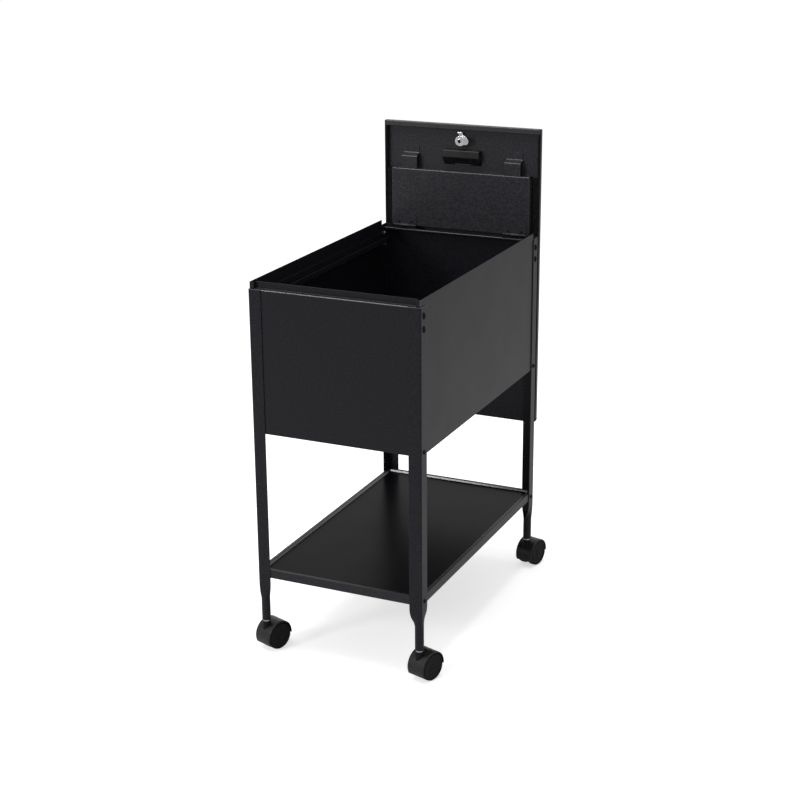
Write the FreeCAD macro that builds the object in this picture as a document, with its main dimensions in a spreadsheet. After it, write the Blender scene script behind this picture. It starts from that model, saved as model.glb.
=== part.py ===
# Mobile tub file: a steel tub and shelf on four angle legs with twin-wheel casters,
# and a lockable lid that hangs behind the tub, swings level and slides forward over it.
# The origin is on the floor under the middle of the legs; the front faces -Y and Z is up.
import FreeCAD
import Part
import Sketcher
import math
import os
import re

os.makedirs("parts", exist_ok=True)
doc = FreeCAD.newDocument("mobile_tub_file")

# Driving sizes in millimetres and degrees
SIZES = {
    # frame and sheet
    "frame_width": 343.0,
    "frame_depth": 592.0,
    "sheet": 1.0,
    "leg_gauge": 1.6,
    "leg_flange": 25.4,
    "leg_bend": 2.4,
    "rear_leg_drop": 11.0,
    "rear_leg_round": 9.0,
    # leg foot
    "neck_radius": 8.5,
    "neck_inset": 9.0,
    "neck_length": 46.5,
    "taper_height": 46.0,
    "seam_half_angle": 6.0,
    "corner_half_angle": 20.0,
    # tub
    "shelf_space": 276.0,
    "tub_height": 290.0,
    "ledge_drop": 13.0,
    "ledge_depth": 9.0,
    "ledge_bend": 0.9,
    "return_width": 9.0,
    "return_gap": 0.5,
    "rear_rim_drop": 17.0,
    "rear_flange": 12.0,
    "notch_length": 22.0,
    "notch_drop": 13.0,
    "floor_flange": 12.0,
    # shelf
    "shelf_flange": 17.0,
    "shelf_rim": 9.0,
    "shelf_recess": 4.5,
    "shelf_corner": 2.0,
    "shelf_bend": 1.2,
    # hanging rails
    "rail_gauge": 1.2,
    "rail_drop": 26.0,
    "rail_height": 20.0,
    "rail_reach": 14.7,
    "rail_lip": 12.0,
    "rail_end_gap": 26.0,
    # leg screws and nuts
    "screw_from_edge": 14.0,
    "screw_drop_upper": 30.5,
    "screw_drop_lower": 55.0,
    "screw_rise": 6.5,
    "screw_radius": 2.0,
    "screw_fit": 0.1,
    "screw_head_radius": 4.2,
    "screw_head_crown": 3.0,
    "screw_head_height": 2.4,
    "screw_end": 1.0,
    "nut_radius": 4.2,
    "nut_height": 3.2,
    # hinge
    "lid_gap": 1.0,
    "lid_seat": 0.4,
    "lip_reach": 10.5,
    "hinge_inset": 5.3,
    "hinge_width": 50.0,
    "hinge_pin_radius": 1.5,
    "hinge_pin_end": 0.6,
    "hinge_fit": 0.05,
    "knuckle_radius": 3.2,
    "knuckle_gap": 0.3,
    "leaf_gauge": 1.5,
    "leaf_rise": 3.8,
    "leaf_height": 15.2,
    "rivet_radius": 1.6,
    "rivet_head_radius": 3.0,
    "rivet_head_height": 1.2,
    "rivet_rise": 7.6,
    "rivet_inset": 10.5,
    # guide plate
    "plate_gauge": 1.2,
    "plate_offset": 3.5,
    "plate_margin": 19.2,
    "plate_above": 120.0,
    "plate_below": 0.5,
    "plate_bend": 1.5,
    "slide_gap": 0.3,
    "slide_side_gap": 0.5,
    # lid
    "lid_overhang": 32.0,
    "lid_side": 1.0,
    "lid_depth": 11.0,
    "lid_side_lip": 5.0,
    "lid_front_lip": 10.0,
    "lid_above": 216.6,
    "lid_corner": 12.0,
    "lid_bend": 0.9,
    # stop hooks
    "hook_inset": 38.8,
    "hook_width": 35.0,
    "hook_gauge": 1.5,
    "hook_reach": 15.0,
    "hook_slope": 4.5,
    "hook_tab": 30.5,
    "hook_base": 16.0,
    "hook_rest": 0.3,
    # finger pull
    "pull_width": 82.0,
    "pull_height": 32.0,
    "pull_face": 15.5,
    "pull_depth": 15.0,
    "pull_wall": 1.8,
    "pull_drop": 52.5,
    "pull_bezel": 5.0,
    "pull_bezel_gauge": 1.5,
    "pull_fit": 0.2,
    "pull_round": 1.5,
    # lock
    "lock_drop": 32.5,
    "lock_face_radius": 12.5,
    "lock_face_height": 2.0,
    "barrel_radius": 9.0,
    "barrel_length": 16.0,
    "barrel_fit": 0.1,
    "lock_nut_radius": 12.5,
    "lock_nut_height": 6.0,
    "stop_tab_width": 13.0,
    "stop_tab_shift": 8.5,
    "stop_tab_reach": 16.5,
    "stop_tab_gauge": 1.5,
    "plug_radius": 6.0,
    "plug_fit": 0.06,
    "key_slot_width": 1.6,
    "key_slot_height": 7.0,
    "key_slot_depth": 12.0,
    "cam_gap": 0.3,
    "cam_gauge": 2.0,
    "cam_radius": 10.0,
    "cam_width": 15.0,
    "cam_reach": 19.5,
    "cam_stud_radius": 3.0,
    "cam_screw_radius": 5.0,
    "cam_screw_height": 2.5,
    "keeper_width": 30.0,
    "keeper_gauge": 1.2,
    "keeper_tab": 6.0,
    "keeper_gap": 1.6,
    "keeper_below_rim": 1.0,
    # casters
    "wheel_radius": 27.0,
    "wheel_width": 13.5,
    "wheel_web_gap": 0.3,
    "wheel_shoulder": 2.6,
    "wheel_dish": 1.2,
    "wheel_dish_radius": 19.0,
    "wheel_hub_radius": 7.0,
    "wheel_blind_wall": 2.2,
    "axle_radius": 3.0,
    "axle_fit": 0.05,
    "axle_end_gap": 0.4,
    "hood_gap": 1.5,
    "hood_wall": 2.5,
    "hood_side": 0.5,
    "hood_front_skirt": 14.0,
    "hood_rear_skirt": 26.0,
    "web_width": 11.8,
    "web_base": 15.0,
    "trail": 18.0,
    "boss_radius": 7.8,
    "boss_rise": 2.0,
    "collar_radius": 7.4,
    "collar_height": 4.2,
    "swivel_gap": 0.3,
    "stem_radius": 4.0,
    "stem_fit": 0.05,
    "stem_depth": 20.0,
    "stem_length": 36.0,
    "socket_length": 42.0,
    "turn_front_left": -20.0,
    "turn_front_right": -18.0,
    "turn_rear_left": -16.0,
    "turn_rear_right": -13.0,
}

# Places that follow from the sizes
PLACES = {
    "leg_x": "frame_width / 2",
    "leg_y": "frame_depth / 2",
    "wall_x": "leg_x - leg_gauge",
    "wall_y": "leg_y - leg_gauge",
    "wall_inner_x": "wall_x - sheet",
    "wall_inner_y": "wall_y - sheet",
    # casters, floor upwards
    "hood_inner": "wheel_radius + hood_gap",
    "hood_radius": "hood_inner + hood_wall",
    "wheel_inner": "web_width / 2 + wheel_web_gap",
    "wheel_outer": "wheel_inner + wheel_width",
    "bore_end": "wheel_outer - wheel_blind_wall",
    "hood_half": "wheel_outer + hood_side",
    "boss_top": "wheel_radius + hood_radius + boss_rise",
    "neck_end": "boss_top + collar_height + swivel_gap",
    "stem_x": "leg_x - neck_inset",
    "stem_y": "leg_y - neck_inset",
    # legs, shelf and tub
    "taper_bottom": "neck_end + neck_length",
    "taper_top": "taper_bottom + taper_height",
    "shelf_base": "taper_top",
    "shelf_top": "shelf_base + shelf_flange",
    "shelf_floor": "shelf_top - shelf_recess",
    "tub_base": "shelf_top + shelf_space",
    "rim": "tub_base + tub_height",
    "ledge": "rim - ledge_drop",
    "rear_rim": "rim - rear_rim_drop",
    "rear_leg_top": "rim - rear_leg_drop",
    "band_y": "wall_y - ledge_depth",
    "band_inner_y": "band_y - sheet",
    "return_x": "wall_x - return_width",
    "screw_y": "leg_y - screw_from_edge",
    # lid gear
    "hinge_y": "leg_y + lid_gap - lip_reach",
    "hinge_z": "rim + lid_seat - lip_reach",
    "lid_x": "leg_x + lid_side",
    "lid_inner_x": "lid_x - sheet",
    "lid_front": "leg_y + lid_gap",
    "lid_back": "lid_front + lid_depth",
    "lid_inner": "lid_back - sheet",
    "lid_top": "hinge_z + lid_above",
    "lid_bottom": "lid_top - frame_depth - lid_overhang",
    "flange_bottom": "lid_bottom + lid_corner",
    "plate_x": "lid_x - plate_margin",
    "plate_front": "hinge_y + plate_offset",
    "plate_top": "hinge_z + plate_above",
    "plate_bottom": "hinge_z - plate_below",
    "foot_front": "lid_front + sheet + slide_gap",
    "foot_back": "foot_front + plate_gauge",
    "foot_x": "lid_inner_x - slide_side_gap",
    "hinge_x": "plate_x - hinge_inset - hinge_width",
    "knuckle_length": "(hinge_width - 2 * knuckle_gap) / 3",
    "leaf_front": "plate_front - leaf_gauge",
    "hook_x": "plate_x - hook_inset - hook_width / 2",
    "hook_front": "lid_inner - hook_reach",
    "hook_bottom": "plate_top + hook_rest",
    "hook_web": "hook_bottom + hook_tab",
    "pull_top": "lid_top - pull_drop",
    "pull_bottom": "pull_top - pull_height",
    "pull_front": "lid_inner - pull_depth",
    "pull_back": "lid_back + pull_bezel_gauge",
    "lock_z": "lid_top - lock_drop",
    "lock_back": "lid_back + lock_face_height",
    "barrel_end": "lid_inner - barrel_length",
    "nut_front": "lid_inner - lock_nut_height",
    "tab_front": "nut_front - stop_tab_gauge",
    "cam_back": "barrel_end - cam_gap",
    "cam_front": "cam_back - cam_gauge",
    "cam_end_x": "cam_reach - cam_width / 2",
    "keeper_z": "hinge_z + cam_back - hinge_y + keeper_gap",
}


def fill_sheet(name, cells):
    """Put named values in a sheet, a name and its value on each row."""
    table = doc.addObject("Spreadsheet::Sheet", name)
    for row, (alias, content) in enumerate(cells.items(), start=1):
        table.set(f"A{row}", alias)
        table.set(f"B{row}", str(content))
        table.setAlias(f"B{row}", alias)
    return table


def link(formula):
    """Point each named value in a formula at its cell."""
    def cell(match):
        name = match.group()
        if name in SIZES:
            return f"Sizes.{name}"
        if name in PLACES:
            return f"Places.{name}"
        return name
    return re.sub(r"[a-z_]+", cell, formula)


sizes = fill_sheet("Sizes", SIZES)
places = fill_sheet("Places", {name: "=" + link(formula) for name, formula in PLACES.items()})
doc.recompute()


def value(name):
    """Read a named value as a plain number."""
    table = sizes if name in SIZES else places
    return float(table.get(name))


def bind(thing, formulas):
    """Bind properties of an object to formulas of the named values."""
    for target, formula in formulas.items():
        thing.setExpression(target, link(formula))
    return thing


nodes = []


def keep(thing, label):
    """Make an object one of the sub-parts that are written out."""
    thing.Label = label
    nodes.append(thing)
    return thing


# Part primitives and booleans

AXIS_TURNS = {
    "X": FreeCAD.Rotation(FreeCAD.Vector(0, 1, 0), 90),
    "Y": FreeCAD.Rotation(FreeCAD.Vector(1, 0, 0), -90),
    "Z": FreeCAD.Rotation(),
}


def place(thing, corner):
    """Bind an object's position to three formulas."""
    return bind(thing, dict(zip(("Placement.Base.x", "Placement.Base.y", "Placement.Base.z"), corner)))


def box(name, corner, size):
    """Make a block from its lowest corner."""
    block = doc.addObject("Part::Box", name)
    bind(block, dict(zip(("Length", "Width", "Height"), size)))
    return place(block, corner)


def rod(name, axis, start, radius, length):
    """Make a cylinder that runs from its start towards plus along an axis."""
    cylinder = doc.addObject("Part::Cylinder", name)
    cylinder.Placement = FreeCAD.Placement(FreeCAD.Vector(), AXIS_TURNS[axis])
    bind(cylinder, {"Radius": radius, "Height": length})
    return place(cylinder, start)


def hexagon(name, axis, start, radius, length):
    """Make a six-sided prism that runs from its start towards plus along an axis."""
    prism = doc.addObject("Part::Prism", name)
    prism.Polygon = 6
    prism.Placement = FreeCAD.Placement(FreeCAD.Vector(), AXIS_TURNS[axis])
    bind(prism, {"Circumradius": radius, "Height": length})
    return place(prism, start)


def join(name, pieces):
    """Fuse pieces into one solid."""
    union = doc.addObject("Part::MultiFuse", name)
    union.Shapes = pieces
    union.Refine = True
    return union


def carve(name, base, tools):
    """Cut one or more tools out of a piece."""
    cut = doc.addObject("Part::Cut", name)
    cut.Base = base
    cut.Tool = tools[0] if len(tools) == 1 else join(name + "_tools", tools)
    cut.Refine = True
    return cut


def group(name, pieces):
    """Hold separate solids together as one object."""
    bundle = doc.addObject("Part::Compound", name)
    bundle.Links = pieces
    return bundle


def mirror(name, source):
    """Mirror an object from the right side to the left."""
    copy = doc.addObject("Part::Mirroring", name)
    copy.Source = source
    copy.Normal = FreeCAD.Vector(1, 0, 0)
    return copy


# Bodies made from sketches

# Each plane's normal, as a sign along the axis that it lacks
PLANE_FACING = {"XY": 1, "XZ": -1, "YZ": 1}


def new_body(name):
    """Start a body."""
    return doc.addObject("PartDesign::Body", name)


def outline(owner, plane, level, loops):
    """Draw closed loops of straight lines in a plane at a level; every corner is placed by two formulas."""
    sketch = owner.newObject("Sketcher::SketchObject", owner.Name + "_outline")
    support = [plane_ for plane_ in owner.Origin.OriginFeatures if plane_.Role == plane + "_Plane"]
    sketch.AttachmentSupport = [(support[0], "")]
    sketch.MapMode = "FlatFace"
    bind(sketch, {"AttachmentOffset.Base.z": f"{PLANE_FACING[plane]} * ({level})"})
    for scale, points in enumerate(loops, start=1):
        count = len(points)
        first = sketch.GeometryCount
        seeds = []
        for number in range(count):
            angle = 2 * math.pi * (number + 0.25) / count
            seeds.append(FreeCAD.Vector(scale * math.cos(angle), scale * math.sin(angle), 0))
        for number in range(count):
            sketch.addGeometry(Part.LineSegment(seeds[number], seeds[(number + 1) % count]))
        for number in range(count):
            follower = first + (number + 1) % count
            sketch.addConstraint(Sketcher.Constraint("Coincident", first + number, 2, follower, 1))
        for number, corner in enumerate(points):
            for kind, seed, formula in zip(("DistanceX", "DistanceY"), seeds[number], corner):
                constraint = Sketcher.Constraint(kind, -1, 1, first + number, 1, seed)
                index = sketch.addConstraint(constraint)
                sketch.setExpression(f"Constraints[{index}]", link(formula))
    return sketch


def extrude(kind, owner, plane, level, loops, length, both_ways):
    """Make a pad or pocket that runs towards plus from its level, or the same distance both ways."""
    feature = owner.newObject("PartDesign::" + kind, f"{owner.Name}_{kind.lower()}")
    feature.Profile = outline(owner, plane, level, loops)
    bind(feature, {"Length": length})
    runs_forward = (PLANE_FACING[plane] > 0) == (kind == "Pad")
    if both_ways:
        feature.SideType = "Symmetric"
    else:
        feature.Reversed = not runs_forward
    return feature


def pad(owner, plane, level, points, length, both_ways=False):
    """Add an extruded outline to a body."""
    return extrude("Pad", owner, plane, level, [points], length, both_ways)


def pocket(owner, plane, level, loops, length, both_ways=False):
    """Cut an extruded outline, or the space between two, out of a body."""
    return extrude("Pocket", owner, plane, level, loops, length, both_ways)


def revolve(owner, plane, axis, points):
    """Add an outline turned a full circle about an axis of its sketch."""
    sketch = outline(owner, plane, "0", [points])
    feature = owner.newObject("PartDesign::Revolution", owner.Name + "_turned")
    feature.Profile = sketch
    feature.ReferenceAxis = (sketch, [axis])
    feature.Angle = 360
    return sketch


def rectangle(x0, y0, x1, y1):
    """List the corners of a rectangle."""
    return [(x0, y0), (x1, y0), (x1, y1), (x0, y1)]


def centred(half_x, half_y):
    """List the corners of a rectangle about the origin."""
    return rectangle(f"-({half_x})", f"-({half_y})", half_x, half_y)


def straight_edges(shape, direction, matches):
    """Name the straight edges along a direction whose middle passes a test."""
    found = []
    for number, edge in enumerate(shape.Edges, start=1):
        if edge.Curve.TypeId != "Part::GeomLine":
            continue
        if abs(edge.Curve.Direction.dot(direction)) < 0.999:
            continue
        middle = edge.CenterOfGravity
        if matches(middle):
            found.append(f"Edge{number}")
    return found


def near(first, second):
    """Tell whether two numbers are the same length."""
    return abs(first - second) < 0.01


def round_edges(owner, radius, direction, matches):
    """Round the straight edges of a body that pass a test."""
    doc.recompute()
    base = owner.Tip
    fillet = owner.newObject("PartDesign::Fillet", owner.Name + "_round")
    fillet.Base = (base, straight_edges(base.Shape, direction, matches))
    bind(fillet, {"Radius": radius})
    return fillet


ALONG_X = FreeCAD.Vector(1, 0, 0)
ALONG_Y = FreeCAD.Vector(0, 1, 0)
ALONG_Z = FreeCAD.Vector(0, 0, 1)

CORNERS = {
    "front_left": (-1, -1),
    "front_right": (1, -1),
    "rear_left": (-1, 1),
    "rear_right": (1, 1),
}


# Leg screws, nuts and the holes that they share

def leg_screw(row, rear, height, stack):
    """Make a right-hand screw, its nut and its hole tool at a height; stack is what they clamp."""
    y = f"{rear} * screw_y"
    head = doc.addObject("Part::Cone", f"screw_head_{row}")
    head.Placement = FreeCAD.Placement(FreeCAD.Vector(), AXIS_TURNS["X"])
    bind(head, {"Radius1": "screw_head_radius", "Radius2": "screw_head_crown", "Height": "screw_head_height"})
    place(head, ("leg_x", y, height))
    inner_end = f"leg_x - ({stack}) - nut_height - screw_end"
    shank_length = f"({stack}) + nut_height + screw_end"
    shank = rod(f"screw_shank_{row}", "X", (inner_end, y, height), "screw_radius", shank_length)
    screw = join(f"screw_{row}", [head, shank])
    nut_seat = f"leg_x - ({stack}) - nut_height"
    nut_blank = hexagon(f"nut_blank_{row}", "X", (nut_seat, y, height), "nut_radius", "nut_height")
    nut = carve(f"nut_{row}", nut_blank, [shank])
    hole_start = f"leg_x - ({stack}) - screw_end"
    hole_length = f"({stack}) + 2 * screw_end"
    hole = rod(f"screw_hole_{row}", "X", (hole_start, y, height), "screw_radius + screw_fit", hole_length)
    return screw, nut, hole


SCREW_ROWS = [
    ("rim - screw_drop_upper", "leg_gauge + sheet"),
    ("rim - screw_drop_lower", "leg_gauge + sheet"),
    ("tub_base + screw_rise", "leg_gauge + 2 * sheet"),
    ("shelf_base + screw_rise", "leg_gauge + sheet"),
]
right_screws = []
right_nuts = []
right_holes = []
for rear in (-1, 1):
    for row, (height, stack) in enumerate(SCREW_ROWS, start=1):
        screw, nut, hole = leg_screw(f"{row}_{'rear' if rear > 0 else 'front'}", rear, height, stack)
        right_screws.append(screw)
        right_nuts.append(nut)
        right_holes.append(hole)


def both_sides(name, pieces):
    """Hold right-hand pieces and their left-hand mirror images as one object."""
    right = group(name + "_right", pieces)
    return group(name, [right, mirror(name + "_left", right)])


keep(both_sides("leg_screw_set", right_screws), "leg_screws")
keep(both_sides("leg_nut_set", right_nuts), "leg_nuts")
screw_holes = both_sides("screw_hole_set", right_holes)


# Legs: an angle whose flanges roll into a split tube for the caster

def gather(share):
    """Ease a share from nought to one, slowly at first."""
    return share ** 3


def angle_stations(offset, bend):
    """Give seven points along one face of the angle, an offset in from its outer faces."""
    flange = value("leg_flange")
    start = offset + bend
    swing = start - bend * math.sqrt(0.5)
    half = (flange + start) / 2
    first = [(flange, offset), (half, offset), (start, offset)]
    second = [(across, along) for along, across in reversed(first)]
    return first + [(swing, swing)] + second


def tube_stations(radius):
    """Give seven points round one face of the split tube, matching those of the angle."""
    inset = value("neck_inset")
    seam = value("seam_half_angle")
    corner = value("corner_half_angle")
    flange_start = 405 - seam
    corner_start = 225 + corner
    angles = [flange_start, (flange_start + corner_start) / 2, corner_start, 225]
    angles += [450 - angle for angle in reversed(angles[:3])]
    points = []
    for degrees in angles:
        turn = math.radians(degrees)
        points.append((inset + radius * math.cos(turn), inset + radius * math.sin(turn)))
    return points


def leg_section(share, height, side, rear):
    """Draw the leg's closed section at a height, from angle (share 0) to split tube (share 1)."""
    gauge = value("leg_gauge")
    bend = value("leg_bend")
    tube = value("neck_radius")
    faces = []
    for flat, round_ in (
        (angle_stations(0, bend), tube_stations(tube)),
        (angle_stations(gauge, bend - gauge), tube_stations(tube - gauge)),
    ):
        face = []
        for (flat_x, flat_y), (round_x, round_y) in zip(flat, round_):
            inward_x = flat_x + share * (round_x - flat_x)
            inward_y = flat_y + share * (round_y - flat_y)
            x = side * (value("leg_x") - inward_x)
            y = rear * (value("leg_y") - inward_y)
            face.append(FreeCAD.Vector(x, y, height))
        faces.append(face)
    outer, inner = faces
    inner.reverse()
    edges = []
    for face, next_face in ((outer, inner), (inner, outer)):
        for start in (0, 2, 4):
            first, middle, last = face[start:start + 3]
            straight = (middle - first).cross(last - first).Length < 1e-6
            curve = Part.LineSegment(first, last) if straight else Part.Arc(first, middle, last)
            edges.append(curve.toShape())
        edges.append(Part.LineSegment(face[-1], next_face[0]).toShape())
    return Part.Wire(edges)


def leg_shape(side, rear):
    """Loft a leg from its top down to the end of its caster neck."""
    top = value("rear_leg_top") if rear > 0 else value("ledge")
    taper_top = value("taper_top")
    taper_bottom = value("taper_bottom")
    steps = 6
    levels = [(0, top)]
    for step in range(steps + 1):
        share = step / steps
        levels.append((gather(share), taper_top + share * (taper_bottom - taper_top)))
    levels.append((1, value("neck_end")))
    leg = Part.makeLoft([leg_section(share, height, side, rear) for share, height in levels], True, True)
    if rear > 0:
        round_ = value("rear_leg_round")
        gauge = value("leg_gauge")
        x = min(side * value("leg_x"), side * value("wall_x"))
        y = value("leg_y") - value("leg_flange")
        corner = Part.makeBox(gauge, round_, round_, FreeCAD.Vector(x, y, top - round_))
        centre = FreeCAD.Vector(x, y + round_, top - round_)
        leg = leg.cut(corner.cut(Part.makeCylinder(round_, gauge, centre, ALONG_X)))
    return leg


for corner, (side, rear) in CORNERS.items():
    blank = doc.addObject("Part::Feature", f"leg_{corner}_blank")
    blank.Shape = leg_shape(side, rear)
    blank.Placement = FreeCAD.Placement()
    keep(carve(f"leg_{corner}_drilled", blank, [screw_holes]), f"leg_{corner}")


# Tub side walls, with narrow returns behind the front and rear walls
side_wall = new_body("side_wall_body")
pad(side_wall, "XY", "tub_base", [
    ("return_x", "-wall_inner_y"),
    ("wall_x", "-wall_inner_y"),
    ("wall_x", "wall_inner_y"),
    ("return_x", "wall_inner_y"),
    ("return_x", "wall_inner_y - sheet"),
    ("wall_inner_x", "wall_inner_y - sheet"),
    ("wall_inner_x", "-wall_inner_y + sheet"),
    ("return_x", "-wall_inner_y + sheet"),
], "tub_height")
# The rear return stops under the rear wall's flange
pocket(side_wall, "XY", "rear_rim - sheet", [
    rectangle("return_x - sheet", "wall_inner_y - sheet", "wall_inner_x", "wall_y"),
], "rear_rim_drop + sheet")
# A notch clears the swinging lid
pocket(side_wall, "YZ", "return_x", [
    rectangle("wall_inner_y - notch_length", "rim - notch_drop", "wall_y", "rim + sheet"),
], "return_width + sheet")
tub_right_wall = keep(carve("side_wall_drilled", side_wall, [screw_holes]), "tub_right_wall")
keep(mirror("side_wall_left", tub_right_wall), "tub_left_wall")

# Tub front wall: the panel turns back in a ledge and up again in a band
front_wall = new_body("front_wall_body")
pad(front_wall, "YZ", "0", rectangle("-wall_y", "tub_base", "-wall_inner_y", "ledge"),
    "2 * wall_inner_x", both_ways=True)
pad(front_wall, "YZ", "0", [
    ("-wall_y", "ledge - sheet"),
    ("-band_inner_y", "ledge - sheet"),
    ("-band_inner_y", "rim"),
    ("-band_y", "rim"),
    ("-band_y", "ledge"),
    ("-wall_y", "ledge"),
], "2 * (return_x - return_gap)", both_ways=True)
round_edges(front_wall, "ledge_bend", ALONG_X,
            lambda middle: near(middle.y, -value("wall_y")) and near(middle.z, value("ledge")))
keep(front_wall, "tub_front_wall")

# Tub rear wall with an inward flange for the hinges
rear_wall = new_body("rear_wall_body")
pad(rear_wall, "YZ", "0", [
    ("wall_inner_y", "tub_base"),
    ("wall_y", "tub_base"),
    ("wall_y", "rear_rim"),
    ("wall_y - rear_flange", "rear_rim"),
    ("wall_y - rear_flange", "rear_rim - sheet"),
    ("wall_inner_y", "rear_rim - sheet"),
], "2 * wall_inner_x", both_ways=True)
round_edges(rear_wall, "ledge_bend", ALONG_X,
            lambda middle: near(middle.y, value("wall_y")) and near(middle.z, value("rear_rim")))
keep(rear_wall, "tub_rear_wall")

# Tub floor: a pan with its flanges turned down
tub_floor = new_body("tub_floor_body")
pad(tub_floor, "XY", "tub_base", centred("wall_inner_x", "wall_inner_y - sheet"), "floor_flange")
pocket(tub_floor, "XY", "tub_base", [
    centred("wall_inner_x - sheet", "wall_inner_y - 2 * sheet"),
], "floor_flange - sheet")
keep(carve("tub_floor_drilled", tub_floor, [screw_holes]), "tub_floor")

# Hanging rails: hooked strips on the side walls, each with an upturned lip
rail = new_body("rail_body")
pad(rail, "XZ", "0", [
    ("wall_inner_x - rail_reach", "rim - rail_drop - rail_height"),
    ("wall_inner_x", "rim - rail_drop - rail_height"),
    ("wall_inner_x", "rim - rail_drop"),
    ("wall_inner_x - rail_gauge", "rim - rail_drop"),
    ("wall_inner_x - rail_gauge", "rim - rail_drop - rail_height + rail_gauge"),
    ("wall_inner_x - rail_reach + rail_gauge", "rim - rail_drop - rail_height + rail_gauge"),
    ("wall_inner_x - rail_reach + rail_gauge", "rim - rail_drop - rail_height + rail_lip"),
    ("wall_inner_x - rail_reach", "rim - rail_drop - rail_height + rail_lip"),
], "2 * (wall_inner_y - rail_end_gap)", both_ways=True)
keep(rail, "hanging_rail_right")
keep(mirror("rail_left", rail), "hanging_rail_left")

# Shelf: a shallow pan with a raised rim and flanges turned down
shelf = new_body("shelf_body")
pad(shelf, "XY", "shelf_base", centred("wall_x", "wall_y"), "shelf_flange")
round_edges(shelf, "shelf_corner", ALONG_Z, lambda middle: True)
pocket(shelf, "XY", "shelf_floor", [
    centred("wall_x - shelf_rim", "wall_y - shelf_rim"),
], "shelf_recess")
pocket(shelf, "XY", "shelf_base", [
    centred("wall_x - shelf_rim + sheet", "wall_y - shelf_rim + sheet"),
], "shelf_floor - sheet - shelf_base")
pocket(shelf, "XY", "shelf_base", [
    centred("wall_x - sheet", "wall_y - sheet"),
    centred("wall_x - shelf_rim + sheet", "wall_y - shelf_rim + sheet"),
], "shelf_flange - sheet")
round_edges(shelf, "shelf_bend", ALONG_X,
            lambda middle: near(middle.z, value("shelf_top")) and near(abs(middle.y), value("wall_y")))
keep(carve("shelf_drilled", shelf, [screw_holes]), "shelf")


# Hinges: fixed leaf on the rear flange, moving leaf on the guide plate, and a pin
def knuckle(name, slot, bore):
    """Make one of a hinge's three knuckles, bored for the pin, and its start along X."""
    start = f"hinge_x + {slot} * (knuckle_length + knuckle_gap)"
    tube = rod(name + "_tube", "X", (start, "hinge_y", "hinge_z"), "knuckle_radius", "knuckle_length")
    hole = rod(name + "_hole", "X", (start, "hinge_y", "hinge_z"), bore, "knuckle_length")
    return start, tube, hole


fixed_pieces = [box("fixed_leaf_foot", ("hinge_x", "wall_y - rear_flange", "rear_rim"),
                    ("hinge_width", "rear_flange - sheet", "leaf_gauge"))]
fixed_holes = []
for slot in (0, 2):
    start, tube, hole = knuckle(f"fixed_knuckle_{slot}", slot, "hinge_pin_radius")
    web = box(f"fixed_leaf_web_{slot}", (start, "hinge_y - leaf_gauge / 2", "rear_rim"),
              ("knuckle_length", "leaf_gauge", "hinge_z - rear_rim"))
    fixed_pieces += [tube, web]
    fixed_holes.append(hole)
fixed_leaf = carve("fixed_leaf", join("fixed_leaf_blank", fixed_pieces), fixed_holes)
keep(fixed_leaf, "hinge_fixed_leaf_right")
keep(mirror("fixed_leaf_left", fixed_leaf), "hinge_fixed_leaf_left")

pin = rod("hinge_pin", "X", ("hinge_x - hinge_pin_end", "hinge_y", "hinge_z"), "hinge_pin_radius",
          "hinge_width + 2 * hinge_pin_end")
keep(pin, "hinge_pin_right")
keep(mirror("hinge_pin_mirror", pin), "hinge_pin_left")

rivets = []
rivet_holes = []
for name, rivet_x in (("inner", "hinge_x + rivet_inset"), ("outer", "hinge_x + hinge_width - rivet_inset")):
    rivet_z = "hinge_z + rivet_rise"
    head = doc.addObject("Part::Cone", f"rivet_head_{name}")
    head.Placement = FreeCAD.Placement(FreeCAD.Vector(), FreeCAD.Rotation(ALONG_X, 90))
    bind(head, {"Radius1": "rivet_head_radius", "Radius2": "rivet_radius", "Height": "rivet_head_height"})
    place(head, (rivet_x, "leaf_front", rivet_z))
    through = "leaf_gauge + plate_gauge"
    shank = rod(f"rivet_shank_{name}", "Y", (rivet_x, "leaf_front", rivet_z), "rivet_radius", through)
    tail = rod(f"rivet_tail_{name}", "Y", (rivet_x, "plate_front + plate_gauge", rivet_z),
               "rivet_head_radius", "rivet_head_height")
    rivets.append(join(f"rivet_{name}", [head, shank, tail]))
    hole = rod(f"rivet_hole_{name}", "Y", (rivet_x, "leaf_front", rivet_z), "rivet_radius", through)
    rivet_holes.append(hole)
keep(both_sides("rivet_set", rivets), "hinge_rivets")

start, tube, hole = knuckle("moving_knuckle", 1, "hinge_pin_radius + hinge_fit")
moving_blank = join("moving_leaf_blank", [
    tube,
    box("moving_leaf_neck", (start, "leaf_front", "hinge_z"), ("knuckle_length", "leaf_gauge", "leaf_rise")),
    box("moving_leaf_plate", ("hinge_x", "leaf_front", "hinge_z + leaf_rise"),
        ("hinge_width", "leaf_gauge", "leaf_height")),
])
moving_leaf = carve("moving_leaf", moving_blank, [hole] + rivet_holes)
keep(moving_leaf, "hinge_moving_leaf_right")
keep(mirror("moving_leaf_left", moving_leaf), "hinge_moving_leaf_left")

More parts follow.
